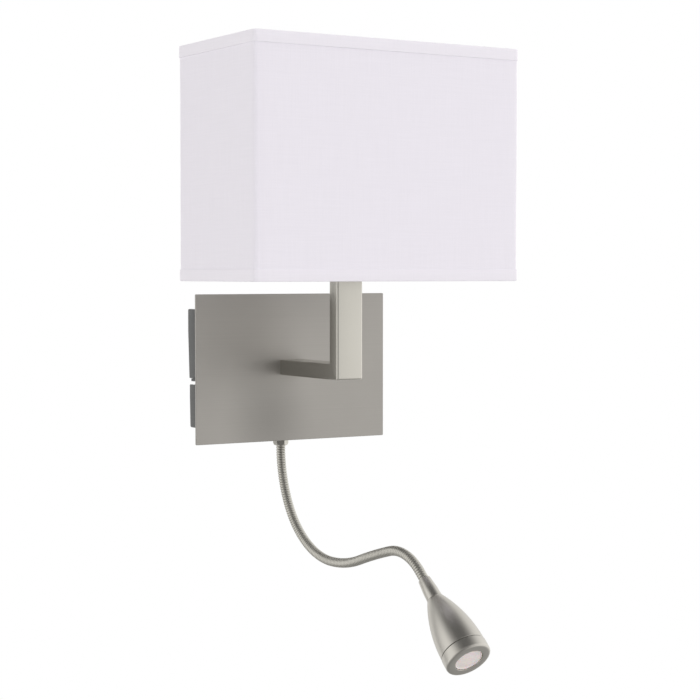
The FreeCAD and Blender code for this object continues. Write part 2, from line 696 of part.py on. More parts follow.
# ---- rocker switches ----------------------------------------------------------------------
# Each housing sits in the box's left side. Its paddle tilts on a pin about an axis along Y.
RIM_FACE = BOX_LEFT - 3.8
LIP_FACE = BOX_LEFT - 6.9
PADDLE_FACE = BOX_LEFT - 9.6
PIN_X = BOX_LEFT - 0.5
PIN_RADIUS = 1.0
HOUSING_DEPTH = 18.0
HUB_HALF = 5.0
HUB_Y = (SWITCH_NEAR + 5, SWITCH_FAR - 5)
WELL_HALF = HUB_HALF + 1.6
PADDLE_GAP = 0.4
PADDLE_ROUNDING = 2.2
FRAME_ROUNDING = 1.9
SWITCH_MID = (SWITCH_NEAR + SWITCH_FAR) / 2
BLADE_BACK = BOX_LEFT + HOUSING_DEPTH
BLADE_LENGTH = 6.5
BLADE_OFFSET = 6.0


def pin_height(span):
    return sum(span) / 2


def housing(span, lip, rounded_end):
    """A switch housing: a frame outside the box, a body inside it and a well for the hub."""
    frame = block((RIM_FACE, BOX_LEFT), (SWITCH_NEAR, SWITCH_FAR), span)
    end = [e for e in long_edges(frame, V(0, 1, 0)) if abs(e.BoundBox.XMin - RIM_FACE) < TINY
           and abs(e.BoundBox.ZMin - rounded_end) < TINY]
    frame = frame.makeFillet(FRAME_ROUNDING, end)
    if lip:
        frame = frame.fuse(block((LIP_FACE, RIM_FACE), (SWITCH_NEAR, SWITCH_FAR), lip))
    low, high = cutout_span(span)
    body_y = (SWITCH_NEAR + 2, SWITCH_FAR - 2)
    body = frame.fuse(block((BOX_LEFT, BOX_LEFT + HOUSING_DEPTH), body_y, (low, high)))
    middle = pin_height(span)
    well_y = (HUB_Y[0] - 0.4, HUB_Y[1] + 0.4)
    well = block((RIM_FACE, BOX_LEFT + 9.0), well_y, (middle - WELL_HALF, middle + WELL_HALF))
    pin = rod(V(PIN_X, SWITCH_NEAR + 3, middle), V(0, 1, 0), PIN_RADIUS, SWITCH_FAR - SWITCH_NEAR - 6)
    return body.cut(well).cut(pin).removeSplitter()


def rocker(span, middle, face, slope, press, rounded_end):
    """A paddle with a broken face, a hub in the housing's well and a hole for its pin."""
    low, high = span
    under = RIM_FACE - PADDLE_GAP
    outline = [
        V(face, SWITCH_NEAR, high), V(face, SWITCH_NEAR, middle + 0.2 * (high - low)),
        V(face + slope, SWITCH_NEAR, low), V(under, SWITCH_NEAR, low),
        V(under, SWITCH_NEAR, middle), V(under - press, SWITCH_NEAR, high)]
    paddle = Part.Face(Part.makePolygon(outline + outline[:1]))
    paddle = paddle.extrude(V(0, SWITCH_FAR - SWITCH_NEAR, 0))
    end = [e for e in long_edges(paddle, V(0, 1, 0)) if abs(e.BoundBox.ZMin - rounded_end) < TINY
           and e.BoundBox.XMin < face + slope + TINY]
    paddle = paddle.makeFillet(PADDLE_ROUNDING, end)
    hub = block((under - 1.0, PIN_X + HUB_HALF), HUB_Y, (middle - HUB_HALF, middle + HUB_HALF))
    paddle = paddle.fuse(hub)
    bore = rod(V(PIN_X, HUB_Y[0], middle), V(0, 1, 0), PIN_RADIUS + 0.05, HUB_Y[1] - HUB_Y[0])
    return paddle.cut(bore).removeSplitter()


LIP_SPAN = (MAIN_SPAN[0], MAIN_SPAN[0] + 2.1)
MAIN_PADDLE = (MAIN_SPAN[0] + 2.5, MAIN_SPAN[1])
save("switch_housing_main", housing(MAIN_SPAN, LIP_SPAN, MAIN_SPAN[1]))
save("switch_housing_reading", housing(READING_SPAN, None, READING_SPAN[0]))
save("rocker_main", rocker(
    MAIN_PADDLE, pin_height(MAIN_SPAN), PADDLE_FACE, 1.0, 2.8, MAIN_SPAN[1]))
save("rocker_reading", rocker(
    READING_SPAN, pin_height(READING_SPAN), PADDLE_FACE + 1.3, 0.4, 2.4, READING_SPAN[0]))

PIN_ENDS = 3.0
rocker_pins = []
blades = []
for middle in (pin_height(MAIN_SPAN), pin_height(READING_SPAN)):
    pin_start = V(PIN_X, SWITCH_NEAR + PIN_ENDS, middle)
    pin_length = SWITCH_FAR - SWITCH_NEAR - 2 * PIN_ENDS
    rocker_pins.append(rod(pin_start, V(0, 1, 0), PIN_RADIUS, pin_length))
    for offset in (-BLADE_OFFSET, BLADE_OFFSET):
        blades.append(block(
            (BLADE_BACK, BLADE_BACK + BLADE_LENGTH), (SWITCH_MID - 2.4, SWITCH_MID + 2.4),
            (middle + offset - 0.4, middle + offset + 0.4)))
save("rocker_pins", *rocker_pins)
save("switch_blades", *blades)


# ---- inside the box -----------------------------------------------------------------------
BLOCK_X = (18.0, 50.0)
BLOCK_Y = (BOX_INNER, BOX_INNER + 15.0)
BLOCK_Z = (18.0, 34.0)
POLES = 3
pole_pitch = (BLOCK_X[1] - BLOCK_X[0]) / POLES


def terminal_block():
    """A three-pole connector with a well over each clamping screw and ways in for leads."""
    body = block(BLOCK_X, BLOCK_Y, BLOCK_Z)
    for pole in range(POLES):
        x = BLOCK_X[0] + pole_pitch * (pole + 0.5)
        z = sum(BLOCK_Z) / 2
        body = body.cut(rod(V(x, BLOCK_Y[1] - 6.0, z), V(0, 1, 0), 2.6, 6.0))
        body = body.cut(rod(V(x, BLOCK_Y[1] - 8.0, BLOCK_Z[1] - 4.0), UP, 1.8, 4.0))
        if pole < POLES - 1:
            groove = BLOCK_X[0] + pole_pitch * (pole + 1)
            body = body.cut(block((groove - 0.6, groove + 0.6), (BLOCK_Y[1] - 5.0, BLOCK_Y[1]), BLOCK_Z))
    return body


save("terminal_block", terminal_block())
save("terminal_screws", *[
    cap_screw(V(BLOCK_X[0] + pole_pitch * (pole + 0.5), BLOCK_Y[1] - 6.0, sum(BLOCK_Z) / 2),
              V(0, 1, 0), 1.5, 1.5, 2.2, 1.8) for pole in range(POLES)])

DRIVER_X = (18.0, 66.0)
DRIVER_Y = (BOX_INNER, -10.0)
DRIVER_Z = (-36.0, -10.0)
save("led_driver", rounded_block(DRIVER_X, DRIVER_Y, DRIVER_Z, 2.0, V(0, 1, 0)))

EARTH_TAG = 0.8
inward = V(-1, 0, 0)
save("earth_screw", cap_screw(EARTH_POINT, inward, EARTH_SCREW, BOX_SHEET + EARTH_TAG, 3.4, 2.2))
tag_at = EARTH_POINT + inward * BOX_SHEET
tag = pipe(tag_at, inward, 4.4, EARTH_SCREW, EARTH_TAG)
tongue = block((tag_at.x - EARTH_TAG, tag_at.x), (tag_at.y - 1.5, tag_at.y + 1.5),
               (tag_at.z - 12.0, tag_at.z - 3.5))
save("earth_tag", tag.fuse(tongue))

save("cable_grommet", turned([
    (4.5, -1.2), (10.5, -1.2), (10.5, 0.0), (9.0, 0.0), (9.0, BRACKET_SHEET), (4.5, BRACKET_SHEET)],
    V(0, -BRACKET_SHEET, 0), V(0, 1, 0)))

# leads
main_z = pin_height(MAIN_SPAN) + BLADE_OFFSET
reading_z = pin_height(READING_SPAN) + BLADE_OFFSET
blade_tip = BLADE_BACK + BLADE_LENGTH
save("box_leads",
     lead([(blade_tip, SWITCH_MID, main_z), (-34, SWITCH_MID, main_z), (-22, -26, 31),
           (BLOCK_X[0], -26, 31)], NECK_LEAD, 6.0),
     lead([(blade_tip, SWITCH_MID, reading_z), (-34, SWITCH_MID, reading_z), (-22, -24, -16),
           (DRIVER_X[0], -24, -16)], NECK_LEAD, 6.0),
     lead([(34, -22, BLOCK_Z[0]), (34, -22, DRIVER_Z[1])], NECK_LEAD, 6.0),
     lead([(DRIVER_X[0], GLAND_Y, -28), (0, GLAND_Y, -28), (0, GLAND_Y, stem_low - 0.3)],
          NECK_LEAD, 9.0))

ARM_LEAD = 2.0
save("arm_lead", lead([
    (0, ARM_MID, core_base.z), (0, ARM_MID, 0), (0, -20, 0), (0, -20, 26), (BLOCK_X[0], -20, 26)],
    ARM_LEAD, 6.5))
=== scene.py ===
# %% [markdown]
# # A wall light with a reading arm
#
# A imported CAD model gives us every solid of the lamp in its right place. We keep that frame as it
# is and make what a viewer sees around it: woven cloth, brushed nickel, a wound steel hose, a
# turned reading head and moulded switches. Everything is in metres, and nothing is moved after it
# is made.

# %% Load the frame
import json
import math

import bmesh
import bpy
from mathutils import Matrix, Vector, noise

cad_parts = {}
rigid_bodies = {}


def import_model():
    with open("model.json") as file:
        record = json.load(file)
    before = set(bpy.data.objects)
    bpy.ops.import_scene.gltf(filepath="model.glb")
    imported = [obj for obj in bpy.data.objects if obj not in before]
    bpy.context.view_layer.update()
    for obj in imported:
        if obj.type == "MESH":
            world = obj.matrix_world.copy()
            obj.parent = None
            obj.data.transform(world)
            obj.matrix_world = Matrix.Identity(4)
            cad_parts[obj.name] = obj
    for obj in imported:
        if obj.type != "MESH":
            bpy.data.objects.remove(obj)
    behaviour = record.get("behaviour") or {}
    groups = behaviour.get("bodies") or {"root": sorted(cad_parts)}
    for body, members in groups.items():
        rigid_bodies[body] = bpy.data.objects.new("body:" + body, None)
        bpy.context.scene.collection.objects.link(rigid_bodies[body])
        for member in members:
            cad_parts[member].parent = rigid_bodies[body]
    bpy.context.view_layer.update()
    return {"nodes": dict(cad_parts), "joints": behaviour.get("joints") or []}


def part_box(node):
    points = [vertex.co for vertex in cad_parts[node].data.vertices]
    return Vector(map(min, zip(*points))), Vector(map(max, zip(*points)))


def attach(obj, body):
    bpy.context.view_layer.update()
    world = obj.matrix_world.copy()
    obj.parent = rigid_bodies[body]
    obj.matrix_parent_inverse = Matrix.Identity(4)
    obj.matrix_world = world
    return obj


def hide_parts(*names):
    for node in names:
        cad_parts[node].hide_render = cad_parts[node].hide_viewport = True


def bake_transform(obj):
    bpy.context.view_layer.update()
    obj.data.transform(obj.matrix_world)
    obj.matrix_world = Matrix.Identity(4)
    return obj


for leftover in list(bpy.data.objects):
    bpy.data.objects.remove(leftover)

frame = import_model()
cad_nodes = frame["nodes"]
scene = bpy.context.scene
MM = 0.001

# %% [markdown]
# ## The camera
#
# A product picture of a small object is taken with a long lens from about a metre and a half away,
# because a wide lens close up would splay the lamp's straight edges.

# %% Camera
camera_data = bpy.data.cameras.new("camera")
camera_data.lens = 93.367
camera_data.sensor_width = 36.0
camera = bpy.data.objects.new("camera", camera_data)
camera.location = (-0.737144, -1.323732, 0.077664)
camera.rotation_euler = (math.radians(90 - 2.458), 0.0, math.radians(-31.564))
scene.collection.objects.link(camera)
scene.camera = camera
scene.view_settings.view_transform = "Standard"
print("camera is", round(Vector(camera.location).length, 2), "m from the wall fixing")


# %% [markdown]
# ## Light
#
# Metal has no colour of its own to speak of: it shows its surroundings. So the world is a small
# studio that only mirrors and bounced light can see, with a bright panel at either side and a dark
# gap where the camera stands, while the camera itself sees plain white. A ramp of brightness
# around the horizon is enough to describe it. The cloth needs more light than the metal, so soft
# lamps that leave no reflections add the rest.

# %% Short ways to add a node
def feed(tree, socket, value):
    """Link a socket to the output that feeds it, or set its value."""
    if isinstance(value, bpy.types.NodeSocket):
        tree.links.new(value, socket)
    else:
        socket.default_value = value


def add_node(tree, kind, **settings):
    """Add a node, set its properties, and feed its inputs by name or number."""
    node = tree.nodes.new(kind)
    inputs = settings.pop("inputs", {})
    for key, value in settings.items():
        setattr(node, key, value)
    for key, value in inputs.items():
        feed(tree, node.inputs[key], value)
    return node


def math_node(tree, operation, *values):
    """The output of a Math node whose inputs are sockets or numbers."""
    return add_node(tree, "ShaderNodeMath", operation=operation,
                    inputs=dict(enumerate(values))).outputs[0]


def map_range(tree, value, start, end, low=0.0, high=1.0, kind="LINEAR"):
    """The output of a Map Range node."""
    return add_node(tree, "ShaderNodeMapRange", interpolation_type=kind, inputs={
        "Value": value, "From Min": start, "From Max": end, "To Min": low,
        "To Max": high}).outputs[0]


def vector_node(tree, operation, *values):
    """A Vector Math node whose inputs are sockets or vectors."""
    return add_node(tree, "ShaderNodeVectorMath", operation=operation,
                    inputs=dict(enumerate(values)))


# %% The studio as a ramp round the horizon
TOWARDS_CAMERA = math.atan2(camera.location.y, camera.location.x)
BRIGHTEST = 1.5
HORIZON = {
    -180: 0.80, -160: 0.85, -137: 0.98, -126: 0.72, -119: 0.28, -112: 0.78, -92: 1.15, -66: 1.00,
    -40: 0.66, -18: 0.28, 0: 0.20, 18: 0.30, 40: 0.66, 62: 0.90, 90: 1.10, 130: 1.15, 160: 0.95,
    180: 0.80}
SKY_LIGHT = 0.85
FLOOR_LIGHT = 0.34
SKY_GAP = Vector((-0.22, -0.05, 0.97)).normalized()
GAP_EDGE = math.cos(math.radians(58))
GAP_CORE = math.cos(math.radians(8))
GAP_LEVEL = 0.14
POLE_BLEND = (-0.3, 0.3)
RING_FADE = (0.35, 0.9)


def build_studio():
    """White for the camera, and the studio for every other ray."""
    world = bpy.data.worlds.new("studio")
    scene.world = world
    world.use_nodes = True
    tree = world.node_tree
    tree.nodes.clear()
    direction = add_node(tree, "ShaderNodeTexCoord").outputs["Generated"]
    x, y, z = add_node(tree, "ShaderNodeSeparateXYZ", inputs={0: direction}).outputs
    turned = math_node(tree, "SUBTRACT", math_node(tree, "ARCTAN2", y, x), TOWARDS_CAMERA)
    wrapped = math_node(tree, "WRAP", turned, math.pi, -math.pi)
    along = math_node(tree, "MULTIPLY_ADD", wrapped, 1 / (2 * math.pi), 0.5)
    ramp = add_node(tree, "ShaderNodeValToRGB", inputs={0: along})
    ramp.color_ramp.interpolation = "EASE"
    stops = ramp.color_ramp.elements
    for degrees, level in HORIZON.items():
        at = degrees / 360 + 0.5
        stop = stops[0] if degrees == -180 else stops[-1] if degrees == 180 else stops.new(at)
        stop.position = at
        stop.color = [level / BRIGHTEST] * 3 + [1.0]
    ring = math_node(tree, "MULTIPLY", ramp.outputs[0], BRIGHTEST)
    pole = map_range(tree, z, *POLE_BLEND, FLOOR_LIGHT, SKY_LIGHT, "SMOOTHSTEP")
    steepness = math_node(tree, "ABSOLUTE", z)
    near_pole = map_range(tree, steepness, *RING_FADE, 0.0, 1.0, "SMOOTHSTEP")
    level = add_node(tree, "ShaderNodeMix", inputs={"Factor": near_pole, "A": ring, "B": pole})
    nearness = add_node(tree, "ShaderNodeVectorMath", operation="DOT_PRODUCT", inputs={
        0: direction, 1: SKY_GAP})
    gap = map_range(tree, nearness.outputs["Value"], GAP_EDGE, GAP_CORE, 1.0, GAP_LEVEL,
                    "SMOOTHSTEP")
    studio = add_node(tree, "ShaderNodeBackground", inputs={
        "Color": (1.0, 0.985, 0.955, 1.0),
        "Strength": math_node(tree, "MULTIPLY", level.outputs["Result"], gap)})
    white = add_node(tree, "ShaderNodeBackground", inputs={"Color": (1, 1, 1, 1), "Strength": 1.0})
    path = add_node(tree, "ShaderNodeLightPath")
    choice = add_node(tree, "ShaderNodeMixShader", inputs={
        0: path.outputs["Is Camera Ray"], 1: studio.outputs[0], 2: white.outputs[0]})
    add_node(tree, "ShaderNodeOutputWorld", inputs={"Surface": choice.outputs[0]})


build_studio()

# %% Soft lamps for the cloth
LAMP_TARGET = Vector((0.0, -0.12, 0.05))


def soft_lamp(name, place, size, power, colour=(1.0, 1.0, 1.0)):
    """A large square lamp that faces the object and leaves no reflection."""
    data = bpy.data.lights.new(name, "AREA")
    data.size = size
    data.energy = power
    data.color = colour
    lamp = bpy.data.objects.new(name, data)
    lamp.location = place
    lamp.rotation_euler = (LAMP_TARGET - Vector(place)).to_track_quat("-Z", "Y").to_euler()
    lamp.visible_glossy = False
    scene.collection.objects.link(lamp)
    print(name, "gives", power, "W")


soft_lamp("lamp_front", (0.5, -2.2, 0.5), 1.6, 18.8, (0.97, 0.96, 1.0))
soft_lamp("lamp_left", (-2.2, -0.4, 0.5), 1.6, 15.4, (0.97, 0.97, 1.0))
soft_lamp("lamp_top", (0.2, -0.4, 2.0), 1.4, 8.0)

# %% [markdown]
# ## The floor
#
# The lamp hangs on a wall, so the floor lies well below it, and is only there to send light up.
# Two helpers come first: one starts a material, the other puts a finished bmesh in the scene.

# %% Floor
FLOOR_LEVEL = -0.46
FLOOR_RADIUS = 0.7


def new_material(name, **constants):
    """A material, its tree and its Principled shader, with some of the shader's sockets set."""
    material = bpy.data.materials.new(name)
    material.use_nodes = True
    shader = material.node_tree.nodes["Principled BSDF"]
    for key, value in constants.items():
        shader.inputs[key.replace("_", " ")].default_value = value
    return material, material.node_tree, shader


def new_object(name, shape):
    """Put a finished bmesh in the scene as an object."""
    mesh = bpy.data.meshes.new(name)
    shape.to_mesh(mesh)
    shape.free()
    thing = bpy.data.objects.new(name, mesh)
    scene.collection.objects.link(thing)
    return thing


def build_floor():
    material, _, _ = new_material(
        "pale_floor", Base_Color=(0.86, 0.86, 0.86, 1), Roughness=0.9)
    shape = bmesh.new()
    bmesh.ops.create_circle(shape, cap_ends=True, segments=96, radius=FLOOR_RADIUS)
    bmesh.ops.translate(shape, verts=shape.verts, vec=(0, -0.1, FLOOR_LEVEL))
    floor = new_object("floor", shape)
    floor.data.materials.append(material)
    floor.visible_glossy = False


build_floor()

# %% [markdown]
# ## Patterns that several finishes share
#
# Brushing, casting and moulding all leave a grain. One group makes it: noise stretched along the
# direction of work for the fine lines, and broader noise for the uneven tone that handling and
# plating leave. A second group weaves cloth from two sets of threads. Both put out values only, so
# the shader itself stays in each material.

# %% A node group for grain
def new_group(name, inputs, outputs):
    """An empty shader group with float or vector inputs and float outputs."""
    group = bpy.data.node_groups.new(name, "ShaderNodeTree")
    for label, value in inputs.items():
        kind = "NodeSocketVector" if isinstance(value, tuple) else "NodeSocketFloat"
        group.interface.new_socket(label, in_out="INPUT", socket_type=kind).default_value = value
    for label in outputs:
        group.interface.new_socket(label, in_out="OUTPUT", socket_type="NodeSocketFloat")
    given = group.nodes.new("NodeGroupInput").outputs
    return group, given, group.nodes.new("NodeGroupOutput")


def build_grain():
    group, given, result = new_group(
        "grain", {"Vector": (0, 0, 0), "Stretch": (1, 1, 1), "Patch Scale": 30.0},
        ("Line", "Patch"))
    stretched = add_node(group, "ShaderNodeVectorMath", operation="MULTIPLY", inputs={
        0: given["Vector"], 1: given["Stretch"]})
    line = add_node(group, "ShaderNodeTexNoise", inputs={
        "Vector": stretched.outputs[0], "Scale": 1.0, "Detail": 5.0, "Roughness": 0.65})
    patch = add_node(group, "ShaderNodeTexNoise", inputs={
        "Vector": given["Vector"], "Scale": given["Patch Scale"], "Detail": 3.0,
        "Roughness": 0.5})
    feed(group, result.inputs["Line"], line.outputs["Fac"])
    feed(group, result.inputs["Patch"], patch.outputs["Fac"])
    return group


grain_group = build_grain()

# %% A node group for woven cloth
def build_weave():
    group, given, result = new_group(
        "weave", {"Vector": (0, 0, 0), "Pitch": 0.00055, "Slub Scale": 900.0},
        ("Height", "Thread"))
    axes = add_node(group, "ShaderNodeSeparateXYZ", inputs={0: given["Vector"]})
    waves = []
    for axis in axes.outputs[:2]:
        turns = math_node(group, "DIVIDE", axis, given["Pitch"])
        waves.append(math_node(group, "SINE", math_node(group, "MULTIPLY", turns, math.pi)))
    threads = []
    for lengthways in ((0.03, 1.0, 1.0), (1.0, 0.03, 1.0)):
        stretched = add_node(group, "ShaderNodeVectorMath", operation="MULTIPLY", inputs={
            0: given["Vector"], 1: lengthways})
        slub = add_node(group, "ShaderNodeTexNoise", inputs={
            "Vector": stretched.outputs[0], "Scale": given["Slub Scale"], "Detail": 3.0,
            "Roughness": 0.6})
        threads.append(slub.outputs["Fac"])
    thread = math_node(group, "MULTIPLY", math_node(group, "ADD", *threads), 0.5)
    crossing = math_node(group, "MULTIPLY", *waves)
    feed(group, result.inputs["Height"],
         math_node(group, "MULTIPLY_ADD", crossing, 0.25, thread))
    feed(group, result.inputs["Thread"], thread)
    return group


weave_group = build_weave()
print("groups:", grain_group.name, weave_group.name)

# %% [markdown]
# ## Finishes
#
# A finish is one Principled shader. The grain's lines go into the bump and the roughness, its
# patches into the colour, and the numbers say how strongly. Stretching the noise by a large number
# across the brushing and a small one along it gives fine parallel scratches.

# %% How a finish is made
NOISE_SPAN = (0.3, 0.7)


def colour_by(tree, shader, value, colour, spread):
    """Let a value run the base colour from a darker to a lighter version of a colour."""
    mix = add_node(tree, "ShaderNodeMix", data_type="RGBA", inputs={"Factor": value})
    dark, light = [s for s in mix.inputs if s.type == "RGBA"]
    dark.default_value = [c * (1 - spread) for c in colour] + [1.0]
    light.default_value = [min(c * (1 + spread), 1.0) for c in colour] + [1.0]
    feed(tree, shader.inputs["Base Color"], next(s for s in mix.outputs if s.type == "RGBA"))


def raise_by(tree, shader, height, distance, strength=1.0):
    """Let a height bump the shader's surface."""
    relief = add_node(tree, "ShaderNodeBump", inputs={
        "Height": height, "Distance": distance, "Strength": strength})
    feed(tree, shader.inputs["Normal"], relief.outputs[0])


def make_finish(
        name, colour, roughness, metallic=0.0, stretch=(900, 900, 900), patches=40.0,
        spread=0.06, rough_spread=0.25, bump=0.00001, mottle=0.5, **constants):
    """One Principled finish with grain. constants are set on the shader's own sockets."""
    material, tree, shader = new_material(name, Metallic=metallic, **constants)
    place = add_node(tree, "ShaderNodeTexCoord")
    grain = add_node(tree, "ShaderNodeGroup", node_tree=grain_group, inputs={
        "Vector": place.outputs["Object"], "Stretch": stretch, "Patch Scale": patches})
    line, patch = grain.outputs["Line"], grain.outputs["Patch"]
    blend = add_node(tree, "ShaderNodeMix", inputs={"Factor": mottle, "A": line, "B": patch})
    tone = map_range(tree, blend.outputs["Result"], *NOISE_SPAN)
    colour_by(tree, shader, tone, colour, spread)
    feed(tree, shader.inputs["Roughness"], map_range(
        tree, line, 0.0, 1.0, roughness * (1 - rough_spread), roughness * (1 + rough_spread)))
    raise_by(tree, shader, line, bump)
    return material


# %% The finishes, by the frame's material slots
ALONG_X = (6, 2600, 2600)
ALONG_Z = (2600, 2600, 14)
FINISHES = {
    "plate_nickel": make_finish(
        "brushed_nickel_plate", (0.47, 0.455, 0.435), 0.48, 1.0, ALONG_X, 9.0, 0.09, 0.25,
        0.000006, 0.45, Anisotropic=0.35),
    "arm_nickel": make_finish(
        "satin_nickel_arm", (0.66, 0.645, 0.60), 0.24, 1.0, ALONG_Z, 25.0, 0.03, 0.25, 0.000002),
    "box_steel": make_finish(
        "painted_box_steel", (0.55, 0.55, 0.54), 0.45, 0.35, (1500, 1500, 1500), 30.0, 0.05,
        bump=0.00001),
    "zinc_steel": make_finish(
        "zinc_plated_steel", (0.62, 0.63, 0.66), 0.34, 0.95, (900, 900, 900), 160.0, 0.18,
        mottle=0.85),
    "brass": make_finish("turned_brass", (0.72, 0.53, 0.27), 0.28, 1.0, (500, 500, 4000)),
    "holder_plastic": make_finish("holder_plastic", (0.80, 0.79, 0.75), 0.38, patches=60.0,
                                  spread=0.03),
    "lamp_cap": make_finish("nickelled_lamp_cap", (0.70, 0.69, 0.66), 0.25, 1.0, spread=0.05),
    "lamp_glass": make_finish(
        "opal_lamp_glass", (0.90, 0.895, 0.87), 0.22, patches=18.0, spread=0.02, bump=0.0,
        Subsurface_Weight=0.35, Subsurface_Scale=0.004, Coat_Weight=0.4),
    "wire_white": make_finish("white_coated_wire", (0.84, 0.84, 0.82), 0.35, spread=0.03),
    "neck_nickel": make_finish(
        "hose_nickel", (0.57, 0.56, 0.52), 0.26, 1.0, (1800, 1800, 1800), 60.0, 0.08),
    "lead_sheath": make_finish("lead_sheath", (0.72, 0.72, 0.70), 0.5, patches=90.0),
    "head_nickel": make_finish(
        "turned_head_nickel", (0.60, 0.585, 0.55), 0.33, 1.0, (1500, 1500, 1500), 30.0, 0.05),
    "optic_clear": make_finish(
        "clear_optic", (0.93, 0.93, 0.93), 0.08, spread=0.01, bump=0.0, Transmission_Weight=0.9,
        IOR=1.49),
    "chip_phosphor": make_finish("chip_phosphor", (0.86, 0.70, 0.18), 0.5, patches=900.0),
    "board_white": make_finish("board_solder_mask", (0.82, 0.83, 0.82), 0.35, patches=300.0),
    "sink_aluminium": make_finish("machined_aluminium", (0.70, 0.71, 0.72), 0.32, 1.0),
    "switch_plastic": make_finish(
        "moulded_switch_plastic", (0.080, 0.083, 0.084), 0.42, stretch=(5200, 5200, 5200),
        patches=50.0, spread=0.10, bump=0.00003),
    "terminal_plastic": make_finish("terminal_polyamide", (0.78, 0.77, 0.70), 0.42, spread=0.04),
    "driver_plastic": make_finish(
        "driver_case", (0.80, 0.80, 0.79), 0.5, stretch=(3000, 3000, 3000), bump=0.00003,
        spread=0.03),
    "grommet_rubber": make_finish("black_rubber", (0.03, 0.03, 0.03), 0.6, patches=120.0),
}
print(len(FINISHES), "finishes")


# %% [markdown]
# A plate this size mirrors the dark parts of a room in one soft patch. Here that patch is a painted
# reflection: scaling the colour by the distance from a point, darker there and a little lighter
# beyond, keeps it in place.

# %% A painted dark reflection on the plate
def paint_reflection_patch(material, centre, reach, inside, outside):
    """Paint a reflection into a finish's colour: scale it by inside at a centre, by outside beyond
    its reach.
    """
    tree = material.node_tree
    base = tree.nodes["Principled BSDF"].inputs["Base Color"]
    colour = base.links[0].from_socket
    place = add_node(tree, "ShaderNodeTexCoord")
    away = vector_node(tree, "SUBTRACT", place.outputs["Object"], centre)
    scaled = vector_node(tree, "DIVIDE", away.outputs[0], reach)
    distance = vector_node(tree, "LENGTH", scaled.outputs[0]).outputs["Value"]
    fade = map_range(tree, distance, 0.0, 1.0, inside, outside, "SMOOTHSTEP")
    times = add_node(tree, "ShaderNodeVectorMath", operation="SCALE", inputs={
        0: colour, "Scale": fade})
    feed(tree, base, times.outputs[0])


# painted reflection: the plate's colour is darkened round a point and lightened a little beyond it
paint_reflection_patch(FINISHES["plate_nickel"], (-22 * MM, 0.0, -42 * MM), (48 * MM, 1.0, 62 * MM), 0.80, 1.08)

# %% [markdown]
# Cloth is different: its pattern follows the threads, so it reads the piece's own UV map, which is
# laid out in metres. The threads are about half a millimetre apart. Light wool-like sheen softens
# the edges, as the tiny fibres that stand out of a fabric do.

# %% Cloth finishes
def make_cloth(name, colour, pitch, spread, bump):
    material, tree, shader = new_material(
        name, Roughness=0.85, Sheen_Weight=0.15, Sheen_Roughness=0.5)
    place = add_node(tree, "ShaderNodeTexCoord")
    weave = add_node(tree, "ShaderNodeGroup", node_tree=weave_group, inputs={
        "Vector": place.outputs["UV"], "Pitch": pitch})
    tone = map_range(tree, weave.outputs["Thread"], *NOISE_SPAN)
    colour_by(tree, shader, tone, colour, spread)
    raise_by(tree, shader, weave.outputs["Height"], bump)
    return material


FINISHES["shade_fabric"] = make_cloth(
    "shade_cotton", (0.845, 0.82, 0.88), 0.00055, 0.022, 0.00006)
FINISHES["shade_tape"] = make_cloth("shade_tape", (0.855, 0.83, 0.885), 0.00045, 0.02, 0.00005)
liner_finish = make_finish(
    "shade_liner", (0.86, 0.855, 0.86), 0.45, patches=15.0, spread=0.02, bump=0.000004)

# %% [markdown]
# The reading head's lens is a moulded diffuser with small facets. It isn't lit, so it shows as a
# pale, faintly pink disc. Cells of a Voronoi pattern give the facets.

# %% The lens finish
def make_lens():
    material, tree, shader = new_material(
        "faceted_lens", Roughness=0.28, Coat_Weight=0.5, Subsurface_Weight=0.2,
        Subsurface_Scale=0.002)
    place = add_node(tree, "ShaderNodeTexCoord")
    cells = add_node(tree, "ShaderNodeTexVoronoi", inputs={
        "Vector": place.outputs["Object"], "Scale": 620.0, "Randomness": 0.35})
    colour_by(tree, shader, cells.outputs["Distance"], (0.84, 0.765, 0.74), 0.05)
    raise_by(tree, shader, cells.outputs["Distance"], 0.00008, 0.8)
    return material


FINISHES["lens_frost"] = make_lens()

# %% Give every CAD node its finish
for cad_node in cad_nodes.values():
    wanted = cad_node.data.materials[0].name.split(".")[0]
    cad_node.data.materials[0] = FINISHES[wanted]
print("dressed", len(cad_nodes), "CAD nodes")

# %% [markdown]
# ## Making meshes from rows of points
#
# Almost every piece here is a skin over rows of points: a turned part is a profile repeated round
# an axis, a tube is a section repeated along a path, and the shade's cloth is a thin section that
# runs round a rectangle. So one function makes the skin, and the pieces only differ in their rows.

# %% The skin
CREASE = 32.0


def add_piece(name, shape, slot, body, *stands_for, finish=None, crease=CREASE):
    """Turn a finished bmesh into a piece that rides on a body and stands for CAD nodes."""
    return settle(new_object(name, shape), slot, body, *stands_for, finish=finish, crease=crease)


def settle(piece, slot, body, *stands_for, finish=None, crease=CREASE):
    """Shade, dress and attach a piece."""
    mesh = piece.data
    mesh.shade_smooth()
    mesh.set_sharp_from_angle(angle=math.radians(crease))
    mesh.materials.clear()
    mesh.materials.append(finish or FINISHES[slot])
    if body:
        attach(piece, body)
    if stands_for:
        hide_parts(*stands_for)
    print(piece.name, len(mesh.polygons), "faces")
    return piece


